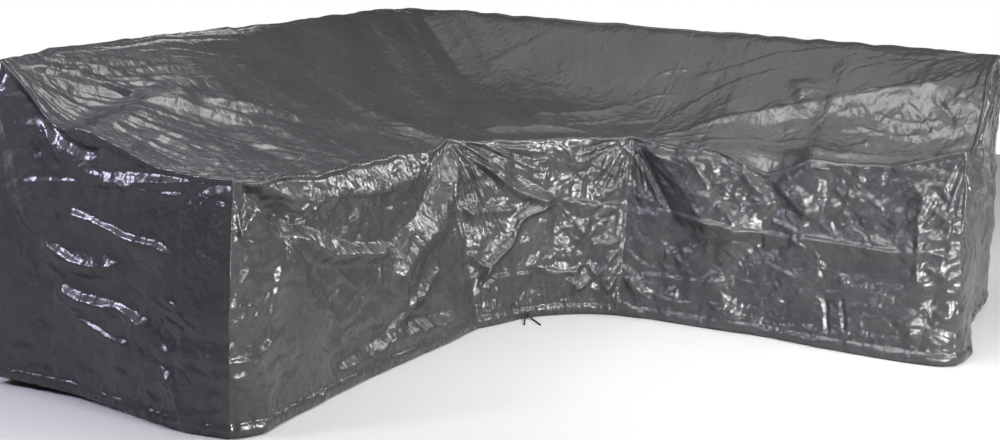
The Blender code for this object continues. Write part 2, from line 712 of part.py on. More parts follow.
def cord_material():
    material = bpy.data.materials.new("black cord")
    material.use_nodes = True
    shader = material.node_tree.nodes["Principled BSDF"]
    shader.inputs["Base Color"].default_value = (0.012, 0.012, 0.013, 1.0)
    shader.inputs["Roughness"].default_value = 0.75
    shader.inputs["Metallic"].default_value = 0.0
    return material


def main():
    for leftover in list(bpy.data.objects):
        bpy.data.objects.remove(leftover)
    collection = bpy.data.collections.new("patio furniture cover")
    bpy.context.scene.collection.children.link(collection)
    cloth = cloth_material()
    panels = [main_roof_panel(collection), wing_roof_panel(collection)]
    panels += [wall_panel(name, collection) for name in WALLS]
    for sheet in panels:
        sheet.data.materials.append(cloth)
    cord = cord_material()
    for piece in drawcord(collection):
        piece.data.materials.append(cord)


main()
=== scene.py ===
"""The looks of an L-shaped patio furniture cover: its cloth with every fold, its hem, cord and light.

Metres, +Z up, in the row's frame.  The cover's own plan has its origin at the corner G:

    G -------- S -------- F
    |          |          |
    |          |          |
    |       .  D -------- E
    |     C
    |     |
    A --- B

The cloth is first one welded mesh of nine panels, so that its folds run on across the seams.
"""

import math

import bpy
import numpy as np
from mathutils import Matrix, Vector


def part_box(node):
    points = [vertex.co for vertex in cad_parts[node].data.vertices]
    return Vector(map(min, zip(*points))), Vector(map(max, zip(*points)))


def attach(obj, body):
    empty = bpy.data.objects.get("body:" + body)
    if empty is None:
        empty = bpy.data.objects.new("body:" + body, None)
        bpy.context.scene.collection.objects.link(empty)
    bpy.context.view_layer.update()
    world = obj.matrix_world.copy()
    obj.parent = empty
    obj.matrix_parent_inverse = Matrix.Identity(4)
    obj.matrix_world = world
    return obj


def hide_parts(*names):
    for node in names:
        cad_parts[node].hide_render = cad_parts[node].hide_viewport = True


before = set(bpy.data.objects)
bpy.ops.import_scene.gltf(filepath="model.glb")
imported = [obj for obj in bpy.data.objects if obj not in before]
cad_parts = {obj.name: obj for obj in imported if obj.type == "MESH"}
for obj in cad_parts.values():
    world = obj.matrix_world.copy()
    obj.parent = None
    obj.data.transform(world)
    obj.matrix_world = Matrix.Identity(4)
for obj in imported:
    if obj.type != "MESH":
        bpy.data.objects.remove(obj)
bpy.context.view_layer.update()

# The plan, and how far the blends at its corners and the fades at its edges reach.
WING_LENGTH = 2.15
LEFT_DEPTH = 0.70
RIGHT_DEPTH = 0.60
INNER_CUT = 0.435
CUT_X = LEFT_DEPTH + INNER_CUT
CUT_Y = -RIGHT_DEPTH - INNER_CUT
PLAN_CENTRE = (1.081, -1.097)
CORNER_BLEND = 0.10
CORNER_REACH = 0.30
EDGE_FADE = 0.03
FINE_EDGE_FADE = 0.008
ROOF_EDGE_SHARE = 0.06
FINE_ROOF_EDGE_SHARE = 0.03
FINE_ROOF_END_FADE = 0.015
MEAN_ROOF_DEPTH = 0.65

# The hem's casing, and how much of the folds reaches it.
HEM_HEIGHT = 0.035
HEM_BULGE = 0.0065
HEM_FADE = 0.12
HEM_FREEDOM = 0.4
FINE_HEM_FADE = 0.05
FINE_HEM_FREEDOM = 0.35

# Facets of the fine cloth: columns along each stretch of the outline, and rows.
LEFT_COLUMNS = 300
CHAMFER_COLUMNS = 176
RIGHT_COLUMNS = 284
ROOF_ROWS = 186
WALL_ROWS = 148
CASING_ROWS = 10

# The camera, from the photograph: its place, how far it turns left of +Y and down, and its roll.
CAMERA_PLACE = (1.632, -3.928, 1.258)
CAMERA_TURN = math.radians(24.65)
CAMERA_DOWN = math.radians(11.85)
CAMERA_ROLL = math.radians(1.63)
CAMERA_LENS = 53.82
CAMERA_SENSOR = 36.0

# Each corner: plan place, height of the roof there, how far the hem stands out in X and in Y,
# the hem's height over the floor, and how far the corner's line bows out half way down.
CORNERS = {
    "A": dict(x=0.0, y=-WING_LENGTH, top=0.846, hem=(-0.030, -0.030), lift=0.022, bow=0.010),
    "B": dict(x=LEFT_DEPTH, y=-WING_LENGTH, top=0.611, hem=(0.040, -0.080), lift=0.002, bow=0.028),
    "C": dict(x=LEFT_DEPTH, y=CUT_Y, top=0.565, hem=(0.135, -0.040), lift=0.002, bow=0.0),
    "D": dict(x=CUT_X, y=-RIGHT_DEPTH, top=0.557, hem=(0.010, -0.115), lift=0.002, bow=0.0),
    "E": dict(x=WING_LENGTH, y=-RIGHT_DEPTH, top=0.605, hem=(0.043, -0.125), lift=0.002, bow=0.012),
    "F": dict(x=WING_LENGTH, y=0.0, top=0.835, hem=(0.030, 0.040), lift=0.024, bow=0.012),
    "G": dict(x=0.0, y=0.0, top=0.872, hem=(-0.045, 0.045), lift=0.002, bow=0.015),
}

# Each wall: its two corners, how far it bellies out half way down, in metres, and rows in
# millimetres for its roof edge and for its hem: (from the first corner, outwards, height).
WALLS = {
    "skirt_left_end": dict(
        ends="AB", belly=0,
        edge=[
            (50, 0, 808), (90, 0, 768), (140, 4, 718), (190, 8, 690), (270, 6, 694), (330, 4, 672),
            (390, 4, 653), (460, 4, 629), (560, 2, 614),
        ],
        hem=[(200, 20, 12), (400, 50, 2), (600, 90, 2)],
    ),
    "skirt_inner_left": dict(
        ends="BC", belly=0.006,
        edge=[
            (30, 0, 602), (110, -6, 586), (210, -10, 583), (300, -4, 573), (410, 0, 564), (550, 0, 566),
            (660, 0, 562), (820, -4, 556), (990, -8, 543), (1070, -4, 548),
        ],
        hem=[(40, 74, 2), (160, 85, 2), (400, 89, 2), (650, 101, 2), (910, 125, 2)],
    ),
    "skirt_chamfer": dict(
        ends="CD", belly=0.012,
        edge=[(50, 0, 558), (200, 0, 556), (400, 0, 556), (560, 0, 555)],
        hem=[(100, 95, 2), (250, 43, 2), (360, 38, 4), (480, 42, 2)],
    ),
    "skirt_inner_right": dict(
        ends="DE", belly=0.004,
        edge=[
            (100, 0, 540), (250, 4, 543), (320, 4, 526), (380, 2, 500), (440, 0, 478), (500, 2, 506),
            (540, 4, 526), (700, 0, 535), (860, 0, 553), (960, 0, 588),
        ],
        hem=[
            (70, 104, 2), (290, 113, 2), (450, 109, 2), (610, 137, 2), (760, 154, 2), (910, 160, 2),
            (990, 146, 2),
        ],
    ),
    "skirt_right_end": dict(
        ends="EF", belly=0.006,
        edge=[
            (40, 0, 598), (130, 6, 593), (180, 10, 630), (240, 10, 690), (300, 6, 752), (360, 4, 790),
            (450, 0, 818),
        ],
        hem=[(30, 55, 2), (270, 25, 2), (460, 18, 10)],
    ),
    "skirt_back": dict(
        ends="FG", belly=0.01,
        edge=[(300, 0, 842), (800, 0, 851), (1370, 0, 862), (1950, 0, 872)],
        hem=[(300, 30, 10), (800, 40, 2), (1300, 30, 2), (1800, 45, 2)],
    ),
    "skirt_side": dict(
        ends="GA", belly=0.01,
        edge=[(200, 0, 875), (800, 0, 868), (1400, 0, 866), (1950, 0, 860)],
        hem=[(300, 45, 2), (800, 30, 2), (1300, 40, 2), (1800, 35, 8)],
    ),
}
for wall in WALLS.values():
    for rim in ("edge", "hem"):
        wall[rim] = np.array(wall[rim]) / 1000


def ease(x):
    """0 below 0, 1 above 1, and a smooth rise between."""
    x = np.clip(x, 0.0, 1.0)
    return x * x * (3.0 - 2.0 * x)


def ends_fade(place, reach, length=1.0):
    """1 along most of a stretch of this length, and down to 0 over a reach at each end of it."""
    return ease(place / reach) * ease((length - place) / reach)


def through(rows, place):
    """The smooth curve through rows of (place, value, ...), read at each place."""
    rows = np.array(rows, float)
    knots = rows[:, 0]
    values = rows[:, 1:]
    slopes = np.gradient(values, knots, axis=0)
    first = np.clip(np.searchsorted(knots, place, side="right") - 1, 0, len(knots) - 2)
    span = knots[first + 1] - knots[first]
    w = (np.clip((place - knots[first]) / span, 0.0, 1.0))[:, None]
    span = span[:, None]
    start = values[first] * (1 + 2 * w) * (1 - w) ** 2 + slopes[first] * span * w * (1 - w) ** 2
    end = values[first + 1] * w * w * (3 - 2 * w) + slopes[first + 1] * span * w * w * (w - 1)
    return start + end


# The random values of all the noise: the side of their square.
LATTICE = 256


def lattice(seed):
    """A square of random values from -1 to 1, read over and over by the noise below."""
    return np.random.default_rng(seed).uniform(-1.0, 1.0, (LATTICE, LATTICE))


def smooth_noise(places, cell, seed):
    """Values from about -1 to 1 that change smoothly from cell to cell."""
    values = lattice(seed)
    place = places / cell
    corner = np.floor(place).astype(int)
    x, y = ease(place - corner).T
    i, j = (corner % LATTICE).T
    k, m = (i + 1) % LATTICE, (j + 1) % LATTICE
    low = values[i, j] * (1 - x) + values[k, j] * x
    high = values[i, m] * (1 - x) + values[k, m] * x
    return low * (1 - y) + high * y


def strayed(places, seed, angle, stray, wave):
    """The places turned by an angle, after each strays by up to this much in waves of this size."""
    ways = [smooth_noise(places, wave, seed + 1), smooth_noise(places, wave, seed + 2)]
    turn = [[math.cos(angle), -math.sin(angle)], [math.sin(angle), math.cos(angle)]]
    return (places + stray * np.column_stack(ways)) @ np.array(turn)


def facet_noise(places, cell, seed, angle):
    """Values from about -1 to 1 in flat facets with creases between them, as in crumpled cloth."""
    values = lattice(seed)
    place = strayed(places, seed, angle, 0.55 * cell, 1.7 * cell) / cell
    place[:, 0] += 0.5 * place[:, 1]
    corner = np.floor(place).astype(int)
    x, y = (place - corner).T
    i, j = (corner % LATTICE).T
    k, m = (i + 1) % LATTICE, (j + 1) % LATTICE
    lower = values[i, j] + x * (values[k, j] - values[i, j]) + y * (values[k, m] - values[k, j])
    upper = values[i, j] + y * (values[i, m] - values[i, j]) + x * (values[k, m] - values[i, m])
    return np.where(x > y, lower, upper)


# A crest's height falls by this much for each unit of the facet noise on either side of it.
CREST_FALL = 2.4


def ridge_noise(places, cell, seed, angle):
    """Values up to 1 along thin winding crests that run about one way, and lower between them."""
    turned = strayed(places, seed, angle, 0.5 * cell, 1.4 * cell)
    return 1.0 - CREST_FALL * np.abs(facet_noise(turned * [0.45, 1.0], cell, seed, 0.0))


def wall_corners(name):
    """The wall's first corner and its last, going round from A."""
    return [CORNERS[letter] for letter in WALLS[name]["ends"]]


def wall_frame(name):
    """The wall's first corner, its length, and its directions along and outwards in plan."""
    first, last = (np.array([corner["x"], corner["y"]]) for corner in wall_corners(name))
    length = math.hypot(*(last - first))
    along = (last - first) / length
    return first, length, along, np.array([along[1], -along[0]])


def wall_length(name):
    """The wall's length in plan."""
    return wall_frame(name)[1]


def wall_start(name):
    """Metres round the outline from A to the wall's first corner."""
    names = list(WALLS)
    return sum(wall_length(other) for other in names[: names.index(name)])


# A seam's small waves, as the cloth gathers in its stitches: their height, the lengths of the wide
# and the fine ones, the line of the noise that they read, and where they die down.
SEAM_WAVE = 0.0035
SEAM_WAVE_LENGTHS = (0.06, 0.022)
SEAM_LINE = 0.013
SEAM_CALM = 0.06
SEAM_SIDEWAYS = 0.6
CORNER_WAVE = 1.6


def seam_wave(place, seed):
    """How far a seam strays at each place along it."""
    line = np.column_stack([place, np.full(len(place), SEAM_LINE)])
    wide, fine = SEAM_WAVE_LENGTHS
    return SEAM_WAVE * (smooth_noise(line, wide, seed) + 0.5 * smooth_noise(line, fine, seed + 1))


def wall_edge(name, u):
    """Points on the wall's roof edge, u metres from its first corner."""
    origin, length, along, out = wall_frame(name)
    first, last = wall_corners(name)
    side = through([(0.0, 0.0, first["top"]), *WALLS[name]["edge"], (length, 0.0, last["top"])], u)
    wave = ends_fade(u, SEAM_CALM, length) * seam_wave(wall_start(name) + u, 70)
    plan = origin + u[:, None] * along + (side[:, :1] + SEAM_SIDEWAYS * wave[:, None]) * out
    return np.column_stack([plan, side[:, 1] + wave])


def wall_hem(name, u):
    """Points on the wall's hem, straight below the roof edge or further out."""
    origin, length, along, out = wall_frame(name)
    first, last = wall_corners(name)
    start = (0.0, np.dot(first["hem"], out), first["lift"])
    end = (length, np.dot(last["hem"], out), last["lift"])
    side = through([start, *WALLS[name]["hem"], end], u)
    shift = np.dot(first["hem"], along) * (1 - u / length) + np.dot(last["hem"], along) * u / length
    plan = origin + (u + shift)[:, None] * along + side[:, :1] * out
    return np.column_stack([plan, side[:, 1]])


def wall_points(name, u, t):
    """Points on a wall: u metres from its first corner, t from 0 at the roof to 1 at the hem."""
    _, length, along, out = wall_frame(name)
    top = wall_edge(name, u)
    points = top + (wall_hem(name, u) - top) * t[:, None]
    reach = min(CORNER_REACH, length / 2)
    near = 1 - ease(u / reach), 1 - ease((length - u) / reach)
    arch = 4 * t * (1 - t)
    for corner, near_corner in zip(wall_corners(name), near):
        direction = np.array(corner["hem"]) / math.hypot(*corner["hem"])
        wave = CORNER_WAVE * seam_wave(t * corner["top"] + corner["x"], 74) * arch
        points[:, :2] += ((corner["bow"] * arch + wave) * near_corner)[:, None] * direction
    belly = WALLS[name]["belly"] * arch * (1 - near[0]) * (1 - near[1])
    points[:, :2] += belly[:, None] * out
    return points


# How the roof runs between its front and back edges: (share of the way back, height over a
# straight line).  CORNER_SAG is how far the roof hangs lower in the middle over the corner.
ROOF_PROFILE = [(0.0, 0.0), (0.25, -0.014), (0.55, -0.012), (0.80, 0.012), (0.92, 0.016), (1.0, 0.0)]
CORNER_SAG = 0.055
CORNER_SAG_REACH = 0.80
END_REACH = 0.60


def roof_outer(v):
    """Points on the roof's back edges for the main panel's columns: A to G, then G to S."""
    inner_left = wall_length("skirt_inner_left")
    half = wall_length("skirt_chamfer") / 2
    past_left = inner_left + (v - inner_left) / half * (WING_LENGTH - inner_left)
    from_end = np.where(v < inner_left, v, past_left)
    side = wall_edge("skirt_side", np.clip(WING_LENGTH - from_end, 0, WING_LENGTH))
    past_corner = np.clip((v - inner_left - half) / half, 0, 1) * CUT_X
    back = wall_edge("skirt_back", WING_LENGTH - past_corner)
    return np.where((v <= inner_left + half)[:, None], side, back)


def roof_between(inner, outer, t, end, near_end, from_corner):
    """Points t of the way from the front edge to the back one, with the shape of the roof's end,
    from its rows of points, and with the roof's own sag."""
    points = inner + (outer - inner) * t[:, None]
    front, back, shape = end
    points += (shape - (front + (back - front) * t[:, None])) * near_end[:, None]
    profile = through(ROOF_PROFILE, t)[:, 0] * (1 - near_end)
    near_corner = 1 - ease(from_corner / CORNER_SAG_REACH)
    points[:, 2] += profile - CORNER_SAG * 4 * t * (1 - t) * near_corner
    return points


def main_roof_points(v, t):
    """Points on the roof over the left wing and the corner, v metres from B along B-C-D."""
    inner_left = wall_length("skirt_inner_left")
    chamfer = wall_length("skirt_chamfer")
    along_left = wall_edge("skirt_inner_left", np.clip(v, 0, inner_left))
    along_chamfer = wall_edge("skirt_chamfer", np.clip(v - inner_left, 0, chamfer))
    inner = np.where((v <= inner_left)[:, None], along_left, along_chamfer)
    ends = wall_edge("skirt_left_end", np.array([LEFT_DEPTH, 0.0]))
    end = (*ends, wall_edge("skirt_left_end", (1 - t) * LEFT_DEPTH))
    from_corner = np.abs(v - inner_left - chamfer / 2)
    return roof_between(inner, roof_outer(v), t, end, 1 - ease(v / END_REACH), from_corner)


def wing_roof_points(v, t):
    """Points on the roof over the right wing, v metres from the seam D-S."""
    length = wall_length("skirt_inner_right")
    inner = wall_edge("skirt_inner_right", v)
    outer = wall_edge("skirt_back", length - v)
    ends = wall_edge("skirt_right_end", np.array([0.0, RIGHT_DEPTH]))
    end = (*ends, wall_edge("skirt_right_end", t * RIGHT_DEPTH))
    from_corner = wall_length("skirt_chamfer") / 2 + v
    return roof_between(inner, outer, t, end, 1 - ease((length - v) / END_REACH), from_corner)


def in_metres(rows):
    """A table of folds in metres, from sizes in millimetres and routes in centimetres."""
    return [[np.array(item) / (100 if isinstance(item, list) else 1000) for item in row] for row in rows]


# Folds, as rows of (height, width on the left of the route, width on its right, route).  A route on
# the walls is (run round the outline from A, height over the floor), one on the roof is (x, y).
WALL_FOLDS = in_metres([
    # The left end: pulled folds under its back corner, and long creases towards the front one.
    (12, 30, 60, [(3, 82), (7, 72), (9, 62), (12, 55), (15, 47), (16, 38)]),
    (12, 20, 30, [(14, 42), (20, 37), (27, 36), (38, 38)]),
    (4, 30, 60, [(20, 49), (41, 44), (55, 41)]),
    (5, 30, 60, [(18, 30), (33, 26), (49, 23)]),
    # The inner left wall: a deep fold and a ridge from its front corner, a swag, and a ridge from C.
    (-44, 24, 36, [(74, 61), (81, 57), (87, 52), (94, 47)]),
    (18, 50, 30, [(80, 57), (99, 52), (120, 50), (141, 48), (150, 49), (168, 52)]),
    (12, 30, 30, [(166, 24), (156, 19), (146, 13), (138, 6)]),
    (-22, 40, 40, [(105, 6), (125, 9), (145, 10), (170, 8)]),
    # The slanted wall.
    (14, 12, 26, [(218, 37), (211, 34), (204, 31), (200, 25), (194, 20), (184, 13)]),
    (14, 30, 30, [(224, 7), (234, 13), (242, 19)]),
    (14, 30, 30, [(233, 6), (243, 12), (254, 7)]),
    # The inner right wall: a ridge and a deep valley from D, and folds under the dip in its edge.
    (14, 14, 30, [(280, 49), (284, 44), (290, 38)]),
    (14, 30, 30, [(290, 47), (296, 42), (302, 37)]),
    (10, 30, 30, [(260, 34), (286, 32), (310, 31), (336, 31)]),
    (12, 35, 35, [(335, 52), (333, 42), (333, 30), (334, 18)]),
    (-10, 30, 30, [(307, 16), (309, 4)]),
    # The right end.
    (20, 30, 30, [(376, 76), (368, 68), (360, 58), (356, 45)]),
    # The two long back walls, which have only a few broad folds.
    (14, 50, 50, [(408, 78), (425, 58), (438, 38), (444, 16)]),
    (-10, 60, 60, [(470, 74), (485, 45), (490, 14)]),
    (10, 60, 60, [(520, 70), (530, 40), (528, 8)]),
    (14, 50, 50, [(616, 82), (596, 60), (584, 36), (580, 12)]),
    (14, 50, 50, [(623, 82), (642, 62), (654, 38), (660, 12)]),
    (-10, 60, 60, [(690, 76), (702, 46), (706, 14)]),
    (10, 60, 60, [(750, 72), (760, 42), (758, 8)]),
    (14, 50, 50, [(831, 78), (814, 58), (802, 38), (796, 16)]),
])
ROOF_FOLDS = in_metres([
    # The corner's bowl: a fill that rounds the valley between the two back slopes.
    (26, 200, 200, [(2, -2), (30, -27), (60, -54), (90, -80)]),
    # Pulled bands from the left wing's back corner to the inner corner C.
    (12, 14, 30, [(24, -176), (31, -168), (37, -161), (46, -145), (50, -128), (56, -107), (68, -103)]),
    # The long ridge from D to the right wing's back corner, and the valley behind it.
    (16, 18, 60, [(116, -59), (133, -49), (153, -37), (169, -31), (188, -28), (200, -25), (211, -18)]),
    (-10, 45, 18, [(138, -41), (154, -30), (172, -26), (198, -19)]),
    # Pulled folds beside the seam, and one along the right wing's front edge.
    (8, 20, 30, [(79, -63), (90, -51), (99, -42), (103, -35)]),
    (8, 16, 26, [(72, -86), (84, -73), (103, -63)]),
    (14, 50, 60, [(23, -212), (24, -198), (25, -184), (26, -170)]),
    (26, 75, 75, [(157.5, -60), (157.5, -47), (157.5, -32), (157.5, -18)]),
    (14, 14, 18, [(160, -53), (176, -56), (190, -54), (203, -50), (210, -48)]),
])

# Flat bands of cloth between two creases, as rows of (height of the second crease over the first,
# how far the cloth takes to fall back past it, first crease, second crease).
WALL_BANDS = in_metres([
    # The left end's pulled fold, and the flap under its roof edge.
    (
        16, 30,
        [(2, 83.5), (6.5, 75.2), (8.4, 70.2), (11, 62.8), (13.6, 55.6), (15.8, 47.7), (17, 40)],
        [(0.5, 84), (3.9, 74.8), (5.3, 69.9), (7.4, 62.5), (9.8, 55.1), (12.3, 47.1), (13, 40)],
    ),
    (
        10, 20,
        [(10, 72.5), (17.9, 67.6), (22.6, 64.8), (27, 61.8), (31.6, 60.2), (42.1, 60.2), (58.1, 60.6)],
        [(9, 71.5), (15.6, 66.3), (20.2, 63.4), (24.9, 60.2), (29.1, 58.4), (42.1, 58.6), (58.1, 59.6)],
    ),
    # The fold from the front corner of the inner left wall.
    (
        26, 60,
        [(73, 60.3), (78.4, 58.1), (85.6, 49.2), (89.8, 44.8), (96.8, 38.1), (106.3, 26.5), (112, 22)],
        [(71.5, 60), (74.8, 58), (81.7, 50), (85.9, 43.5), (91.2, 37), (98.2, 28.5), (105, 23)],
    ),
    # The lower edge of the swag between the two corners.
    (
        30, 20,
        [(90, 48), (92.4, 47), (99.1, 45.2), (108.6, 42), (120, 37.6), (133, 35.2), (140, 35)],
        [(90.5, 46), (93.2, 44.9), (99.9, 40.8), (105.8, 37.5), (121.1, 34.5), (133.7, 32.6), (140, 34)],
    ),
    # The broad fold from the inner corner C.
    (
        40, 50,
        [(180, 56), (177.6, 51.7), (168.9, 45.6), (159.7, 39.9), (149.4, 36.7), (138.5, 33.7), (133, 31)],
        [(182.5, 55.5), (180, 48.5), (172.6, 42.2), (166.7, 35.9), (156.3, 32.3), (148, 28.9), (138, 22)],
    ),
    # The slanted wall's fold.
    (
        20, 14,
        [(188, 52), (191.8, 50), (197.7, 48.1), (204.5, 44.8), (211.4, 41), (217.6, 37.4)],
        [(188.5, 50.5), (193.4, 48.2), (199.1, 43.5), (204.2, 40.2), (209.6, 38.2), (217.6, 36.9)],
    ),
    # The deep crease from the inner corner D: the cloth rises to its right.
    (
        36, 110,
        [
            (244, 55.6), (248.6, 48.9), (253.4, 40.9), (258.3, 33.7), (263.9, 27.6), (270.7, 21.6),
            (278, 16),
        ],
        [(246, 55.6), (254.2, 49.5), (260.8, 42.5), (267.2, 35.5), (273.8, 31), (280.4, 26.4), (286, 23)],
    ),
])
ROOF_BANDS = in_metres([
    # The bands pulled from the left wing's back corner, and the one that ends at the corner C.
    (
        16, 20,
        [(3, -212), (10, -198), (17, -189), (27, -187), (36, -180), (41, -171), (48, -163)],
        [(2, -212), (6, -204), (13, -192), (24, -184), (33, -175), (40, -167), (46, -160)],
    ),
    (
        10, 14,
        [(36, -168), (42, -153), (50, -134), (55, -109), (70, -100)],
        [(34, -166), (39, -151), (46, -132), (51, -107), (68, -98)],
    ),
    # The crest of the ridge from D to the right wing's back corner.
    (
        12, 16,
        [(116, -59.5), (142, -46), (168, -37), (189, -33), (209, -29), (214, -20)],
        [(115, -59), (139, -43), (165, -32), (184, -29), (206, -25), (213, -17)],
    ),
])

# The fine folds, in rows like those of the broad ones.
FINE_WALL_FOLDS = in_metres([
    # The left end.
    (10, 10, 30, [(14, 41), (18, 39), (25, 36), (33, 36), (39, 38)]),
    (12, 11, 34, [(20, 49), (29, 47), (41, 44), (50, 43), (55, 41)]),
    (16, 18, 35, [(18, 30), (24, 27), (37, 26), (44, 24), (49, 23)]),
    (9, 9, 25, [(23, 22), (30, 20), (37, 18), (42, 18)]),
    (5, 8, 20, [(51, 27), (58, 24)]),
    (8, 12, 20, [(46, 17), (51, 14), (55, 11), (57, 7), (59, 4), (63, 3)]),
    (6, 6, 14, [(7, 55), (34, 57), (60, 60)]),
    (-10, 15, 20, [(3, 81), (10, 75), (16, 70), (22, 66), (27, 64), (34, 66)]),
    (6, 8, 20, [(16, 35), (19, 33), (22, 31)]),
    (8, 9, 20, [(37, 57), (47, 56), (57, 56)]),
    (4, 6, 12, [(62, 21), (67, 19), (72, 19), (80, 17)]),
    # The inner left wall.
    (-12, 16, 12, [(73, 60), (80, 56), (85, 51), (90, 48)]),
    (6, 10, 15, [(181, 47), (179, 44), (171, 39)]),
    (6, 10, 12, [(170, 37), (165, 30), (162, 24)]),
    (7, 8, 15, [(164, 22), (156, 19), (151, 15)]),
    (7, 8, 15, [(150, 18), (146, 13), (140, 10), (137, 5)]),
    (5, 8, 10, [(134, 33), (133, 23)]),
    (8, 25, 12, [(80, 57), (99, 52), (120, 50), (141, 48), (150, 49), (180, 55)]),
    (6, 8, 12, [(70, 59), (72, 54), (73, 48), (75, 46), (78, 45)]),
    (5, 8, 15, [(79, 20), (88, 22)]),
    (5, 8, 12, [(77, 28), (83, 33)]),
    (10, 30, 25, [(111, 5), (126, 6), (138, 7), (161, 6), (181, 5)]),
    (5, 8, 15, [(111, 34), (116, 29), (122, 25)]),
    (6, 30, 12, [(86, 42), (84, 31), (81, 19)]),
    (6, 8, 10, [(97, 48), (103, 54)]),
    (6, 8, 10, [(101, 48), (107, 54)]),
    (4, 7, 10, [(110, 54), (120, 48)]),
    (5, 7, 12, [(127, 51), (133, 44)]),
    # The slanted wall.
    (8, 8, 18, [(181, 36), (190, 35), (203, 35)]),
    (9, 8, 20, [(218, 37), (233, 35), (243, 34)]),
    (7, 10, 15, [(218, 36), (212, 34), (205, 32), (200, 25), (194, 21), (182, 10)]),
    (6, 8, 15, [(182, 23), (188, 19), (196, 17)]),
    (7, 8, 25, [(190, 15), (210, 14)]),
    (6, 8, 20, [(210, 16), (222, 14), (229, 14)]),
    (8, 10, 20, [(231, 24), (238, 23), (243, 25)]),
    (8, 12, 15, [(226, 8), (234, 13), (239, 18), (243, 21)]),
    (10, 12, 20, [(234, 6), (240, 10), (244, 15), (250, 9), (256, 4)]),
    (6, 10, 12, [(233, 47), (243, 40)]),
    (7, 10, 20, [(229, 42), (233, 39), (238, 40), (241, 42)]),
    (8, 10, 14, [(240, 53.5), (246.3, 47.2), (250.9, 41.4), (254.7, 35.6)]),
    (6, 8, 10, [(183, 55), (187, 50), (189, 44)]),
    (5, 7, 10, [(186, 55), (192, 52), (195, 50)]),
    (6, 8, 10, [(185, 14), (184, 5)]),
    (6, 8, 10, [(189, 13), (187, 5)]),
    (6, 8, 10, [(193, 12), (190, 4)]),
    # The inner right wall.
    (9, 8, 28, [(250, 34), (270, 33), (286, 31), (302, 31), (329, 31), (336, 32)]),
    (7, 8, 18, [(249, 14), (266, 14), (278, 16)]),
    (-4, 8, 15, [(299, 16), (312, 18), (320, 21), (334, 22)]),
    (-6, 8, 12, [(287, 31), (287, 26)]),
    (7, 8, 15, [(273, 39), (278, 35), (280, 33)]),
    (5, 8, 12, [(262, 52), (267, 47), (270, 43)]),
    (7, 8, 15, [(281, 49), (282, 46), (287, 43), (290, 39)]),
    (6, 8, 15, [(291, 45), (295, 42), (299, 38)]),
    (6, 10, 15, [(308, 47), (310, 45), (314, 45)]),
    (6, 10, 15, [(318, 45), (322, 42)]),
    (5, 8, 15, [(294, 51), (309, 53), (327, 54), (340, 55)]),
    (7, 8, 18, [(289, 35), (298, 33)]),
    (6, 8, 15, [(296, 31), (301, 28)]),
    (5, 8, 15, [(287, 23), (293, 21), (299, 19)]),
    (-6, 10, 10, [(307, 15), (309, 4)]),
    (-6, 10, 10, [(312, 16), (314, 5)]),
    (6, 10, 12, [(335, 52), (333, 42), (333, 32), (333, 22)]),
    (5, 8, 12, [(327, 10), (332, 13), (336, 17)]),
    (-4, 8, 12, [(298, 13), (306, 13)]),
    (5, 8, 15, [(250, 10), (258, 7), (269, 7)]),
    (8, 10, 15, [(338, 52), (341, 43), (340, 33)]),
    (6, 10, 12, [(275, 4), (285, 3), (288, 4)]),
    # The right end.
    (8, 10, 15, [(375, 75), (367, 67), (359, 60)]),
    (5, 8, 15, [(375, 42), (393, 42)]),
    (6, 8, 12, [(393, 5), (401, 7)]),
])
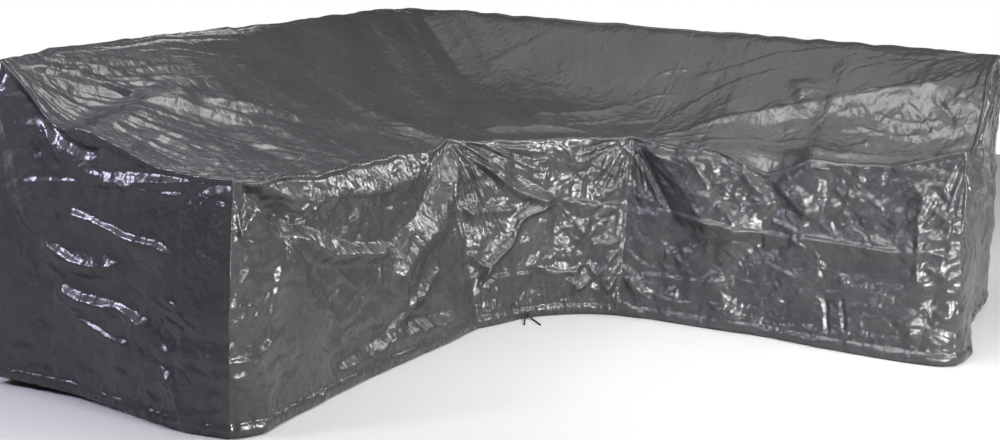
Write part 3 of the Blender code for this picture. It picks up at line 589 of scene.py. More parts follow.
FINE_ROOF_FOLDS = in_metres([
    # Streaks from the left wing's back corner.
    (3, 6, 12, [(4, -211), (14, -192), (23, -185), (33, -177), (50, -162)]),
    (4, 8, 18, [(7, -212), (16, -202), (28, -198), (38, -192)]),
    (4, 10, 16, [(12, -188), (20, -181), (30, -173), (37, -167)]),
    (4, 8, 22, [(2, -202), (9, -187), (16, -179), (24, -173)]),
    (3, 10, 30, [(3, -189), (12, -173), (24, -149)]),
    (4, 10, 24, [(4, -198), (11, -183), (19, -171), (28, -151)]),
    (4, 10, 24, [(15, -175), (23, -163), (30, -143), (33, -116)]),
    (2, 14, 30, [(5, -179), (15, -157), (22, -126), (28, -96)]),
    (4, 12, 24, [(32, -152), (38, -136), (42, -108), (54, -91)]),
    (3, 6, 12, [(24, -176), (37, -161), (46, -145), (52, -120), (68, -103)]),
    # Streaks over the left wing's front.
    (3, 10, 16, [(15, -211), (28, -212), (38, -208)]),
    (4, 10, 16, [(24, -206), (35, -200), (45, -193)]),
    (3, 10, 16, [(30, -202), (42, -193), (53, -178)]),
    (3, 10, 16, [(42, -189), (53, -169), (58, -141)]),
    (4, 10, 18, [(43, -175), (51, -156), (53, -120), (64, -104)]),
    (4, 8, 12, [(61, -198), (62, -173), (64, -146), (65, -111)]),
    # The crest of the long ridge, and the streaks that fan out from D.
    (3, 6, 12, [(116, -59), (133, -49), (153, -37), (188, -28), (211, -18)]),
    (4, 10, 30, [(128, -45), (142, -38), (158, -26), (173, -24)]),
    (4, 12, 40, [(114, -55), (121, -37), (131, -26), (143, -20), (157, -13)]),
    (4, 12, 30, [(119, -22), (135, -17), (149, -10), (168, -6)]),
    (3, 10, 14, [(120, -60), (135, -57), (151, -49), (170, -47)]),
    # Between the corner C and the seam.
    (5, 8, 12, [(79, -63), (90, -51), (99, -42), (103, -35)]),
    (5, 8, 12, [(90, -63), (99, -52), (105, -42)]),
    (5, 8, 12, [(72, -88), (84, -73), (103, -63)]),
    (3, 10, 20, [(46, -33), (55, -18), (65, -6)]),
    (3, 10, 20, [(33, -67), (30, -31), (34, -16)]),
    # The crumpled front of the right wing.
    (5, 8, 10, [(192, -32), (199, -36), (204, -41)]),
    (-4, 8, 10, [(199, -30), (206, -35), (209, -40)]),
    (4, 8, 12, [(182, -34), (189, -37), (196, -37), (205, -37)]),
    (4, 8, 12, [(177, -40), (187, -41), (199, -41)]),
    (5, 6, 12, [(160, -51), (181, -54), (209, -49)]),
    # Gathers along the seam from D to the back.
    (5, 6, 8, [(103, -50), (111, -46), (117, -43)]),
    (5, 6, 8, [(105, -36), (110, -31), (117, -29)]),
    (4, 6, 8, [(106, -24), (112, -19), (118, -18)]),
])

# How folds are shaped: points for each bend of a route, the share of a route over which its ends
# fade, how far its line strays, and the share by which its height changes along it.
POINTS_PER_BEND = 6
FOLD_TAPER = 0.15
SHORT_FOLD_TAPER = 0.5
FOLD_RAGGED = 0.0020
RAGGED_SEEDS = (301, 302)
RAGGED_WAVE = 0.045
RAGGED_FACET = 0.016
FOLD_UNEVEN = 0.35
FOLD_UNEVEN_LENGTH = 0.07

# A main fold's mix of a round fold and of a sharp one this much wider, and how many times as wide
# as a fold's narrow side the other side is where it's round.
ROUND_SHARE = 0.4
SHARP_STRETCH = 1.45
WIDE_SIDE = 1.5

# A sharp fold: the roundness of its crest and of its foot, and what that takes from its height.
CREST = 0.16
FOOT = 0.14
SHARP_TOP = 0.5 * (1 - CREST + math.hypot(1 - CREST, FOOT))


def route_points(route):
    """A fold's route as a smooth line of many points."""
    corners = np.array(route, float)
    steps = np.hypot(*np.diff(corners, axis=0).T)
    place = np.concatenate([[0.0], np.cumsum(steps)])
    rows = np.column_stack([place, corners])
    return through(rows, np.linspace(0.0, place[-1], POINTS_PER_BEND * len(route)))


def soft_bump(x):
    """A round fold's height at x widths from its crest."""
    return np.exp(-x * x)


def sharp_bump(x):
    """The height of a fold with flat flanks and a narrow crest, at x widths from its crest."""
    rise = 1.0 - np.sqrt(x * x + CREST * CREST)
    return 0.5 * (rise + np.sqrt(rise * rise + FOOT * FOOT)) / SHARP_TOP


def main_bump(x):
    """A main fold's height: between a round fold and a wider one with flat flanks."""
    return ROUND_SHARE * soft_bump(x) + (1 - ROUND_SHARE) * sharp_bump(x / SHARP_STRETCH)


def nearest_on(line, places):
    """Each place's distance from a line, its share of the way along it, and whether it is on its left."""
    start = line[:-1]
    step = line[1:] - start
    offset = places[:, None, :] - start
    share = np.clip((offset * step).sum(2) / (step * step).sum(1), 0.0, 1.0)
    away = offset - share[:, :, None] * step
    nearest = np.argmin((away * away).sum(2), axis=1)
    row = np.arange(len(places))
    away = away[row, nearest]
    left = step[nearest, 0] * away[:, 1] - step[nearest, 1] * away[:, 0] > 0
    return np.hypot(*away.T), (nearest + share[row, nearest]) / len(step), left


def near_line(line, places, reach):
    """Which of the places are in the line's box, with this much round it."""
    inside = (places > line.min(axis=0) - reach) & (places < line.max(axis=0) + reach)
    return np.flatnonzero(inside.all(axis=1))


def fold_depth(places, folds, bump, taper_share=FOLD_TAPER):
    """How far the folds lift the cloth at each flat place: unevenly along them, and softly where wide."""
    depth = np.zeros(len(places))
    ragged = []
    for seed in RAGGED_SEEDS:
        facets = 0.5 * facet_noise(places, RAGGED_FACET, seed + 4, 0.8)
        ragged.append(smooth_noise(places, RAGGED_WAVE, seed) + facets)
    places = places + FOLD_RAGGED * np.column_stack(ragged)
    for number, (height, left_width, right_width, route) in enumerate(folds):
        line = route_points(route)
        near = near_line(line, places, 3 * max(left_width, right_width))
        if not len(near):
            continue
        distance, progress, left = nearest_on(line, places[near])
        width = np.where(left, left_width, right_width)
        taper = ends_fade(progress, taper_share)
        run = np.column_stack([places[near].sum(axis=1), np.full(len(near), 0.37 * number)])
        taper *= 1 + FOLD_UNEVEN * smooth_noise(run, FOLD_UNEVEN_LENGTH, 310)
        wide = width > WIDE_SIDE * min(left_width, right_width)
        from_crest = distance / width
        depth[near] += height * taper * np.where(wide, soft_bump(from_crest), bump(from_crest))
    return depth


def band_depth(places, bands):
    """How far the bands lift the cloth: evenly from the first crease to the second, then back down."""
    depth = np.zeros(len(places))
    for height, fall, first_route, second_route in bands:
        first = route_points(first_route)
        second = route_points(second_route)
        near = near_line(np.vstack([first, second]), places, 2 * fall)
        from_first, along, left_of_first = nearest_on(first, places[near])
        from_second, _, left_of_second = nearest_on(second, places[near])
        _, _, second_is_left = nearest_on(first, second[len(second) // 2][None, :])
        past_first = left_of_first == second_is_left[0]
        past_second = left_of_second == second_is_left[0]
        rise = from_first / (from_first + from_second + 1e-9)
        drop = 1.0 - ease(from_second / (2 * fall))
        share = np.where(past_second, drop, np.where(past_first, rise, 0.0))
        depth[near] += height * ends_fade(along, FOLD_TAPER) * share
    return depth


# Short folds scattered in boxes of flat places: (seed, how many, the box's low and high corners,
# the way that most of them run and how far they turn from it, in radians, height, width, length).
SHORT_WALL_FOLDS = [
    (7, 210, (0.72, 0.03), (3.5, 0.56), 0.0, 0.55, 0.0036, 0.006, 0.10),
    (6, 24, (0.35, 0.03), (0.72, 0.30), -0.5, 0.5, 0.0036, 0.006, 0.10),
    (8, 90, (2.2, 0.03), (3.4, 0.25), 0.5, 0.6, 0.0038, 0.007, 0.08),
    (9, 350, (3.5, 0.03), (8.3, 0.80), -1.4, 0.6, 0.0030, 0.007, 0.12),
]
SHORT_ROOF_FOLDS = [
    (17, 130, (0.0, -2.1), (0.68, -0.9), 1.2, 0.25, 0.0020, 0.006, 0.16),
    (18, 40, (1.1, -0.58), (2.0, -0.05), 0.35, 0.3, 0.0020, 0.007, 0.14),
    (19, 60, (1.7, -0.56), (2.14, -0.28), 0.1, 0.7, 0.0030, 0.006, 0.07),
]
# The least and the most of a short fold's length, height and widths, as shares of its row's, and
# how far it bends, the signs that its height takes, and how many have their steep side on the left.
SHORT_LENGTHS = (0.5, 1.6)
SHORT_HEIGHTS = (0.4, 1.4)
STEEP_WIDTHS = (0.6, 1.1)
GENTLE_WIDTHS = (2.0, 4.5)
SHORT_BEND = 0.18
SHORT_SIGNS = [1.0, 1.0, -0.7]
STEEP_LEFT_SHARE = 0.6


def short_folds(rows):
    """The folds of these boxes, each with one steep side and one gentle one."""
    folds = []
    for seed, count, low, high, lean, turn, height, width, length in rows:
        random = np.random.default_rng(seed)
        for _ in range(count):
            middle = random.uniform(low, high)
            angle = lean + random.normal(0.0, turn)
            half = 0.5 * length * random.uniform(*SHORT_LENGTHS)
            bend = half * random.normal(0.0, SHORT_BEND)
            along = np.array([math.cos(angle), math.sin(angle)])
            across = np.array([-along[1], along[0]])
            route = [middle - half * along, middle + bend * across, middle + half * along]
            tall = height * random.uniform(*SHORT_HEIGHTS) * random.choice(SHORT_SIGNS)
            steep = width * random.uniform(*STEEP_WIDTHS)
            gentle = width * random.uniform(*GENTLE_WIDTHS)
            widths = (steep, gentle) if random.random() < STEEP_LEFT_SHARE else (gentle, steep)
            folds.append((tall, *widths, route))
    return folds


# How crumpled the cloth is: ((run, height) or (x, y), (reach along, reach up or back), strength).
WALL_CRUMPLE = [
    ((0.35, 0.40), (0.40, 0.40), 0.10),
    ((0.12, 0.50), (0.06, 0.25), 1.00),
    ((0.50, 0.16), (0.10, 0.10), 0.80),
    ((0.74, 0.30), (0.06, 0.30), 0.70),
    ((0.95, 0.15), (0.20, 0.12), 0.35),
    ((1.25, 0.47), (0.40, 0.12), 1.30),
    ((1.35, 0.18), (0.22, 0.12), 0.50),
    ((1.68, 0.28), (0.08, 0.15), 0.20),
    ((1.95, 0.22), (0.10, 0.10), 0.40),
    ((2.10, 0.25), (0.10, 0.10), 0.35),
    ((2.33, 0.28), (0.13, 0.25), 1.40),
    ((2.54, 0.45), (0.07, 0.14), 0.10),
    ((2.62, 0.34), (0.06, 0.10), 0.15),
    ((2.52, 0.12), (0.14, 0.10), 1.20),
    ((2.95, 0.40), (0.28, 0.12), 1.10),
    ((2.85, 0.20), (0.20, 0.10), 0.90),
    ((3.25, 0.20), (0.12, 0.10), 0.40),
    ((3.38, 0.35), (0.07, 0.22), 1.50),
    ((3.75, 0.45), (0.22, 0.50), 0.30),
]
ROOF_CRUMPLE = [
    ((0.60, -0.70), (0.45, 0.45), 0.10),
    ((0.40, -0.20), (0.45, 0.25), 0.12),
    ((0.30, -1.70), (0.35, 0.50), 0.12),
    ((1.45, -0.25), (0.35, 0.25), 0.15),
    ((1.95, -0.38), (0.22, 0.14), 0.90),
]
OTHER_WALL_CRUMPLE = 0.7
OTHER_ROOF_CRUMPLE = 0.25

# The sizes of the crumpling: (its kind, height, cell, step of the seed, angle), and its soft waves.
CRUMPLE_SIZES = [
    (facet_noise, 0.0070, 0.100, 10, 0.4),
    (facet_noise, 0.0060, 0.045, 20, 1.3),
    (facet_noise, 0.0022, 0.020, 30, 2.1),
    (ridge_noise, 0.0030, 0.060, 40, 0.5),
    (ridge_noise, 0.0016, 0.026, 50, -0.6),
]
SOFT_WAVE = 0.0030
SOFT_WAVE_LENGTH = 0.13


def crumple(places, seed, rows, base):
    """The cloth's own unevenness, as strong as the rows say, and elsewhere as the base says."""
    strength = np.full(len(places), base)
    for place, reach, value in rows:
        away = np.hypot(*((places - place) / reach).T)
        strength += (value - strength) * np.exp(-(away**2))
    sharp = 0.0
    for kind, height, cell, step, angle in CRUMPLE_SIZES:
        sharp += height * kind(places, cell, seed + step, angle)
    return SOFT_WAVE * smooth_noise(places, SOFT_WAVE_LENGTH, seed) + strength * sharp


# Fans of pulled wrinkles: (the corner that they leave, reach, height, radians between two of them).
WALL_FANS = [
    ((0.00, 0.85), 0.50, 0.0030, 0.10),
    ((0.70, 0.62), 0.30, 0.0015, 0.12),
    ((1.815, 0.57), 0.40, 0.0050, 0.13),
    ((2.43, 0.56), 0.30, 0.0030, 0.12),
    ((3.445, 0.61), 0.35, 0.0050, 0.14),
    ((4.045, 0.84), 0.50, 0.0040, 0.12),
    ((6.195, 0.87), 0.60, 0.0040, 0.12),
    ((8.345, 0.85), 0.50, 0.0040, 0.12),
]
ROOF_FANS = [
    ((0.00, -2.15), 1.60, 0.0028, 0.045),
    ((0.70, -1.035), 0.30, 0.0012, 0.120),
    ((1.135, -0.60), 0.40, 0.0012, 0.110),
    ((2.15, 0.00), 0.45, 0.0025, 0.100),
]
# Where a fan's wrinkles start, in metres and as a share of its reach, and where they fade.
FAN_CALM = 0.08
FAN_START = 0.12
FAN_FADE = 0.45
# Where on the noise a fan is read: its shift across, and its cells from the corner to its reach.
SPOKE_SHIFT = 40
SPOKE_CELLS = 3.0


def fans(places, rows, seed):
    """How far the pulled wrinkles of these fans lift the cloth."""
    depth = np.zeros(len(places))
    for number, (corner, reach, height, step) in enumerate(rows):
        away = places - corner
        distance = np.hypot(*away.T)
        turn = np.arctan2(away[:, 0], away[:, 1])
        spokes = np.column_stack([turn / step + SPOKE_SHIFT, SPOKE_CELLS * distance / reach])
        lines = 1.0 - CREST_FALL * np.abs(facet_noise(spokes, 1.0, seed + number, 0.0))
        finer = smooth_noise(spokes * [2.3, 1.7], 1.0, seed + 20 + number)
        strength = ease(distance / (FAN_START * reach))
        strength *= 1 - ease((distance / reach - FAN_FADE) / (1 - FAN_FADE))
        depth += height * strength * np.minimum(1.0, distance / FAN_CALM) * (lines + 0.5 * finer)
    return depth


# The hem's casing: the width and depth of its stitched line, the heights and cells of the gathers
# that the drawcord makes, and where they begin and end over the hem.
STITCH_LINE = (0.003, 0.0016)
GATHER_CRESTS = (0.0026, 0.034)
GATHER_FACETS = (0.0014, 0.012)
GATHER_START = 0.006
GATHER_END = (0.03, 0.06)
GATHER_STRETCH = 0.25

# The cloth's turn under the hem: (metres inwards, metres up) of its further rows.
HEM_TURN = [(0.0025, -0.0004), (0.0055, 0.002), (0.006, 0.016)]

# A seam's raised edge and the dip of the stitches beside it, in metres.
SEAM_RIDGE = 0.0045
SEAM_STITCH = 0.0012
SEAM_WIDTH = 0.0060
STITCH_INSET = 0.011
FAR_FROM_SEAM = 1.0
CORNER_SEAM_EXTRA = 0.006


def hem_gathers(run, over_hem):
    """The casing's stitched line, and the small gathers that the drawcord makes above and below it."""
    width, dip = STITCH_LINE
    places = np.column_stack([run, GATHER_STRETCH * over_hem])
    gather = GATHER_CRESTS[0] * ridge_noise(places, GATHER_CRESTS[1], 61, 1.3)
    gather += GATHER_FACETS[0] * facet_noise(places, GATHER_FACETS[1], 63, 0.9)
    reach = ease(over_hem / GATHER_START) * (1 - ease((over_hem - GATHER_END[0]) / GATHER_END[1]))
    return gather * reach - dip * np.exp(-(((over_hem - HEM_HEIGHT) / width) ** 2))


def wall_shares(name, u):
    """Each row's share of the way down to the hem, with close rows in the hem casing."""
    drop = np.linalg.norm(wall_edge(name, u) - wall_hem(name, u), axis=1)
    casing = 1 - HEM_HEIGHT / drop
    body = np.outer(np.linspace(0, 1, WALL_ROWS + 1), casing)
    band = casing + np.outer(np.linspace(0, 1, CASING_ROWS + 1)[1:], 1 - casing)
    return np.vstack([body, band])


def wall_cloth(name, u):
    """The wall's rows of points with all their folds, and their flat places."""
    _, length, _, out = wall_frame(name)
    names = list(WALLS)
    before = wall_frame(names[names.index(name) - 1])[3]
    after = wall_frame(names[(names.index(name) + 1) % len(names)])[3]
    shares = wall_shares(name, u)
    rows, columns = shares.shape
    u = np.tile(u, rows)
    flat = wall_points(name, u, shares.ravel())
    to_first = 0.5 * (1 - ease(u / CORNER_BLEND))
    to_last = 0.5 * (1 - ease((length - u) / CORNER_BLEND))
    direction = out + np.outer(to_first, before - out) + np.outer(to_last, after - out)
    direction /= np.hypot(*direction.T)[:, None]
    below_edge = wall_edge(name, u)[:, 2] - flat[:, 2]
    over_hem = flat[:, 2] - wall_hem(name, u)[:, 2]
    places = np.column_stack([wall_start(name) + u, flat[:, 2]])
    depth = fold_depth(places, WALL_FOLDS, main_bump) + band_depth(places, WALL_BANDS)
    depth *= (HEM_FREEDOM + (1 - HEM_FREEDOM) * ease(over_hem / HEM_FADE)) * ease(below_edge / EDGE_FADE)
    depth += HEM_BULGE * np.sin(math.pi * np.clip(over_hem / HEM_HEIGHT, 0, 1))
    fine = fold_depth(places, FINE_WALL_FOLDS, sharp_bump)
    fine += fold_depth(places, short_folds(SHORT_WALL_FOLDS), sharp_bump, SHORT_FOLD_TAPER)
    fine += crumple(places, 40, WALL_CRUMPLE, OTHER_WALL_CRUMPLE) + fans(places, WALL_FANS, 120)
    near_hem = FINE_HEM_FREEDOM + (1 - FINE_HEM_FREEDOM) * ease(over_hem / FINE_HEM_FADE)
    depth += fine * ease(below_edge / FINE_EDGE_FADE) * near_hem + hem_gathers(places[:, 0], over_hem)
    points = flat.copy()
    points[:, :2] += depth[:, None] * direction
    from_end = np.minimum(u, length - u)
    from_seam = np.minimum(below_edge, from_end)
    from_edge = np.minimum(below_edge, from_end + CORNER_SEAM_EXTRA)
    last = slice(-columns, None)
    hem_flat, hem_points, hem_places, inwards = flat[last], points[last], places[last], -direction[last]
    for step_in, step_up in HEM_TURN:
        turn = np.column_stack([step_in * inwards, np.full(columns, step_up)])
        flat = np.vstack([flat, hem_flat + turn])
        points = np.vstack([points, hem_points + turn])
        places = np.vstack([places, hem_places - [0.0, step_in + step_up]])
        from_seam = np.concatenate([from_seam, from_seam[last]])
        from_edge = np.concatenate([from_edge, np.full(columns, FAR_FROM_SEAM)])
    shape = (rows + len(HEM_TURN), columns)
    return dict(
        shape=shape, flat=flat, points=points, places=places, from_seam=from_seam, from_edge=from_edge
    )


def roof_cloth(name, v):
    """The roof panel's rows of points with all their folds, and their flat places."""
    columns = len(v)
    t = np.repeat(np.linspace(0, 1, ROOF_ROWS + 1), columns)
    v = np.tile(v, ROOF_ROWS + 1)
    if name == "top_main":
        flat = main_roof_points(v, t)
        from_end = v
        from_middle = v.max() - v
    else:
        flat = wing_roof_points(v, t)
        from_end = wall_length("skirt_inner_right") - v
        from_middle = v
    places = flat[:, :2].copy()
    depth = fold_depth(places, ROOF_FOLDS, main_bump) + band_depth(places, ROOF_BANDS)
    depth *= ends_fade(t, ROOF_EDGE_SHARE) * ease(from_end / EDGE_FADE)
    fine = fold_depth(places, FINE_ROOF_FOLDS, sharp_bump)
    fine += fold_depth(places, short_folds(SHORT_ROOF_FOLDS), sharp_bump, SHORT_FOLD_TAPER)
    fine += crumple(places, 90, ROOF_CRUMPLE, OTHER_ROOF_CRUMPLE) + fans(places, ROOF_FANS, 150)
    fine *= ends_fade(t, FINE_ROOF_EDGE_SHARE) * ease(from_end / FINE_ROOF_END_FADE)
    points = flat.copy()
    points[:, 2] += depth + fine
    from_seam = np.minimum(np.minimum(t, 1 - t) * MEAN_ROOF_DEPTH, from_end)
    from_edge = np.minimum(from_seam, from_middle + CORNER_SEAM_EXTRA)
    shape = (ROOF_ROWS + 1, columns)
    return dict(
        shape=shape, flat=flat, points=points, places=places, from_seam=from_seam, from_edge=from_edge
    )


def all_cloth():
    """Each panel's rows of points, with the columns that its neighbours share."""
    inner_left = wall_length("skirt_inner_left")
    chamfer = wall_length("skirt_chamfer")
    wing = wall_length("skirt_inner_right")
    back = wall_length("skirt_back")
    left = np.linspace(0, inner_left, LEFT_COLUMNS + 1)
    slant = np.linspace(0, chamfer, CHAMFER_COLUMNS + 1)
    right = np.linspace(0, wing, RIGHT_COLUMNS + 1)
    past_left = np.linspace(inner_left, WING_LENGTH, CHAMFER_COLUMNS // 2 + 1)[1:]
    past_seam = np.linspace(wing, back, CHAMFER_COLUMNS // 2 + 1)[1:]
    columns = {
        "skirt_left_end": np.linspace(0, LEFT_DEPTH, ROOF_ROWS + 1),
        "skirt_inner_left": left,
        "skirt_chamfer": slant,
        "skirt_inner_right": right,
        "skirt_right_end": np.linspace(0, RIGHT_DEPTH, ROOF_ROWS + 1),
        "skirt_back": np.concatenate([wing - right[::-1], past_seam]),
        "skirt_side": WING_LENGTH - np.concatenate([left, past_left])[::-1],
    }
    panels = {
        "top_main": roof_cloth("top_main", np.concatenate([left, inner_left + slant[1:]])),
        "top_wing": roof_cloth("top_wing", right),
    }
    for name, u in columns.items():
        panels[name] = wall_cloth(name, u)
    return panels


# Points nearer than this are the same one, and the stretch beside a seam that is drawn smooth.
WELD = 0.0001
SEAM_CALMED = 0.012
SEAM_PULL = 0.7
SEAM_PULLS = 4
FLOOR_REACH = 0.03


def welded(panels):
    """Every panel's points in one list, where panels share those of their seams."""
    points = np.vstack([panel["points"] for panel in panels.values()])
    flat = np.vstack([panel["flat"] for panel in panels.values()])
    _, index = np.unique(np.round(flat / WELD).astype(int), axis=0, return_inverse=True)
    index = index.ravel()
    count = np.bincount(index)
    joined = np.column_stack([np.bincount(index, points[:, axis]) / count for axis in range(3)])
    start = 0
    for panel in panels.values():
        size = len(panel["points"])
        panel["index"] = index[start : start + size]
        start += size
    return joined


def grid_quads(name, index, shape):
    """The four corners of each facet in a grid of points, in the order that faces outwards."""
    grid = index.reshape(shape)
    corners = [grid[:-1, :-1], grid[1:, :-1], grid[1:, 1:], grid[:-1, 1:]]
    if name.startswith("top"):
        corners.reverse()
    return np.stack(corners, axis=-1).reshape(-1, 4)


def relaxed(points, quads, weight, times):
    """The points drawn towards the middle of their neighbours, by their weight, several times."""
    ends = np.vstack([quads[:, [0, 1]], quads[:, [1, 2]], quads[:, [2, 3]], quads[:, [3, 0]]])
    ends = np.unique(np.sort(ends, axis=1), axis=0)
    both = np.concatenate([ends[:, 0], ends[:, 1]])
    other = np.concatenate([ends[:, 1], ends[:, 0]])
    count = np.bincount(both, minlength=len(points))
    for _ in range(times):
        middle = np.column_stack([np.bincount(both, points[other, axis], len(points)) for axis in range(3)])
        points = points + weight[:, None] * (middle / count[:, None] - points)
    return points


def vertex_normals(points, quads):
    """Each point's normal, from the facets round it."""
    across = points[quads[:, 2]] - points[quads[:, 0]]
    other = points[quads[:, 3]] - points[quads[:, 1]]
    face = np.cross(across, other)
    normal = np.zeros_like(points)
    for corner in range(4):
        for axis in range(3):
            normal[:, axis] += np.bincount(quads[:, corner], face[:, axis], len(points))
    return normal / np.linalg.norm(normal, axis=1)[:, None]


def placed(name, data):
    """A new object of the scene with this data."""
    obj = bpy.data.objects.new(name, data)
    bpy.context.scene.collection.objects.link(obj)
    return obj


def panel_object(name, points, normals, quads, places, material):
    """A panel's mesh, which carries its flat places as its texture coordinates."""
    mesh = bpy.data.meshes.new(name)
    mesh.from_pydata(points.tolist(), [], quads.tolist())
    layer = mesh.uv_layers.new(name="cloth metres")
    loops = np.empty(len(mesh.loops), int)
    mesh.loops.foreach_get("vertex_index", loops)
    layer.data.foreach_set("uv", places[loops].astype(np.float32).ravel())
    mesh.shade_smooth()
    mesh.normals_split_custom_set_from_vertices(normals.tolist())
    mesh.materials.append(material)
    return placed(name, mesh)


def build_cloth(material):
    """The nine panels as objects, by the names of the nodes that they take the place of."""
    panels = all_cloth()
    points = welded(panels)
    quads = np.vstack([grid_quads(name, panel["index"], panel["shape"]) for name, panel in panels.items()])
    from_seam = np.full(len(points), FAR_FROM_SEAM)
    from_edge = np.full(len(points), FAR_FROM_SEAM)
    for panel in panels.values():
        np.minimum.at(from_seam, panel["index"], panel["from_seam"])
        np.minimum.at(from_edge, panel["index"], panel["from_edge"])
    heights = points[:, 2].copy()
    points = relaxed(points, quads, SEAM_PULL * (1 - ease(from_seam / SEAM_CALMED)), SEAM_PULLS)
    points[:, 2] = np.where(heights < FLOOR_REACH, heights, points[:, 2])
    seam = SEAM_RIDGE * np.exp(-((from_edge / SEAM_WIDTH) ** 2))
    seam -= SEAM_STITCH * np.exp(-(((from_edge - STITCH_INSET) / SEAM_WIDTH) ** 2))
    points = points + seam[:, None] * vertex_normals(points, quads)
    normals = vertex_normals(points, quads)
    points = points - [*PLAN_CENTRE, 0.0]
    objects = {}
    for name, panel in panels.items():
        index = panel["index"]
        local = grid_quads(name, np.arange(len(index)), panel["shape"])
        objects[name] = panel_object(
            "cloth_" + name, points[index], normals[index], local, panel["places"], material
        )
    return objects


def shade(tree, kind, output, *sockets, **values):
    """The named output of a new shader node, with its first inputs linked to these sockets.

    A value whose name starts with a small letter is a setting, and any other one is an input.
    """
    new = tree.nodes.new("ShaderNode" + kind)
    for number, socket in enumerate(sockets):
        tree.links.new(socket, new.inputs[number])
    for name, value in values.items():
        if name[0].islower():
            setattr(new, name, value)
        elif isinstance(value, bpy.types.NodeSocket):
            tree.links.new(value, new.inputs[name])
        else:
            new.inputs[name.replace("_", " ")].default_value = value
    return new.outputs[output]


def ramp(tree, value, *stops):
    """The colour of a value, from stops of (value, red, green and blue)."""
    colour = shade(tree, "ValToRGB", "Color", value)
    elements = colour.node.color_ramp.elements
    for element, (place, *rgb) in zip(elements, (stops[0], stops[-1])):
        element.position = place
        element.color = (*rgb, 1.0)
    for place, *rgb in stops[1:-1]:
        elements.new(place).color = (*rgb, 1.0)
    return colour


def material_shader(name):
    """A new material, its node tree and its shader."""
    material = bpy.data.materials.new(name)
    material.use_nodes = True
    return material, material.node_tree, material.node_tree.nodes["Principled BSDF"]


# The cloth's creases in its bumps, from the widest to the finest: (cells in a metre, strength,
# depth in metres), and the crinkles that cross it two ways: (radians turned, stretch).
CLOTH_CREASES = [(28.0, 0.5, 0.006), (75.0, 0.15, 0.003)]
CLOTH_CRINKLES = [(0.6, (38.0, 95.0, 1.0)), (-0.7, (85.0, 30.0, 1.0))]
CRINKLE_STRENGTH = 0.35
CRINKLE_DEPTH = 0.003
CREASE_STRAY = 0.06
THREADS = 350.0
WEAVE_STRENGTH = 0.06
WEAVE_DEPTH = 0.0004


def cloth_finish():
    """Dark grey coated woven cloth: glossy, with fine creases and a weave that shows close by."""
    material, tree, shader = material_shader("coated woven cloth")
    places = shade(tree, "UVMap", "UV", uv_map="cloth metres")
    tone = shade(tree, "TexNoise", "Fac", Vector=places, Scale=5.0, Detail=6.0)
    colour = ramp(tree, tone, (0.3, 0.035, 0.034, 0.037), (0.7, 0.046, 0.045, 0.048))
    tree.links.new(colour, shader.inputs["Base Color"])
    gloss = shade(tree, "TexNoise", "Fac", Vector=places, Scale=14.0, Detail=4.0)
    rough = shade(tree, "MapRange", "Result", gloss, From_Min=0.3, From_Max=0.7, To_Min=0.21, To_Max=0.30)
    tree.links.new(rough, shader.inputs["Roughness"])
    stray = shade(tree, "TexNoise", "Color", Vector=places, Scale=9.0, Detail=2.0)
    stray = shade(tree, "VectorMath", "Vector", stray, operation="SCALE", Scale=CREASE_STRAY)
    moved = shade(tree, "VectorMath", "Vector", places, stray)
    bumps = []
    for cells, strength, depth in CLOTH_CREASES:
        lines = shade(tree, "TexVoronoi", "Distance", Vector=moved, feature="DISTANCE_TO_EDGE", Scale=cells)
        bumps.append((strength, depth, lines))
    for turn, stretch in CLOTH_CRINKLES:
        turned = shade(tree, "Mapping", "Vector", moved, Rotation=(0.0, 0.0, turn), Scale=stretch)
        crinkle = shade(tree, "TexNoise", "Fac", Vector=turned, Scale=1.0, Detail=2.0)
        bumps.append((CRINKLE_STRENGTH, CRINKLE_DEPTH, crinkle))
    threads = []
    for direction in ("X", "Y"):
        threads.append(shade(tree, "TexWave", "Fac", places, bands_direction=direction, Scale=THREADS))
    weave = shade(tree, "Math", "Value", *threads, operation="MULTIPLY")
    bumps.append((WEAVE_STRENGTH, WEAVE_DEPTH, weave))
    normal = shader.inputs["Normal"]
    for strength, depth, height in reversed(bumps):
        bump = shade(tree, "Bump", "Normal", Strength=strength, Distance=depth, Height=height)
        tree.links.new(bump, normal)
        normal = bump.node.inputs["Normal"]
    return material


def cord_finish():
    """Black braided cord, rough and matt."""
    material, tree, shader = material_shader("black braided cord")
    places = shade(tree, "TexCoord", "Object")
    braid = shade(tree, "TexWave", "Fac", places, bands_direction="DIAGONAL", Scale=420.0, Distortion=1.0)
    colour = ramp(tree, braid, (0.0, 0.006, 0.006, 0.007), (1.0, 0.022, 0.022, 0.024))
    tree.links.new(colour, shader.inputs["Base Color"])
    bump = shade(tree, "Bump", "Normal", Strength=0.6, Distance=0.0005, Height=braid)
    tree.links.new(bump, shader.inputs["Normal"])
    shader.inputs["Roughness"].default_value = 0.7
    return material


def camera():
    """The camera at the photograph's place and angle."""
    turn, down, roll = CAMERA_TURN, CAMERA_DOWN, CAMERA_ROLL
    forward = np.array([-math.sin(turn) * math.cos(down), math.cos(turn) * math.cos(down), -math.sin(down)])
    right = np.array([math.cos(turn), math.sin(turn), 0.0])
    up = np.cross(right, forward)
    rolled_right = right * math.cos(roll) + up * math.sin(roll)
    rolled_up = up * math.cos(roll) - right * math.sin(roll)
    data = bpy.data.cameras.new("camera")
    data.lens = CAMERA_LENS
    data.sensor_width = CAMERA_SENSOR
    data.sensor_fit = "HORIZONTAL"
    data.clip_end = 200.0
    eye = placed("camera", data)
    rotation = np.column_stack([rolled_right, rolled_up, -forward])
    eye.matrix_world = Matrix.Translation(CAMERA_PLACE) @ Matrix(rotation.tolist()).to_4x4()
    bpy.context.scene.camera = eye


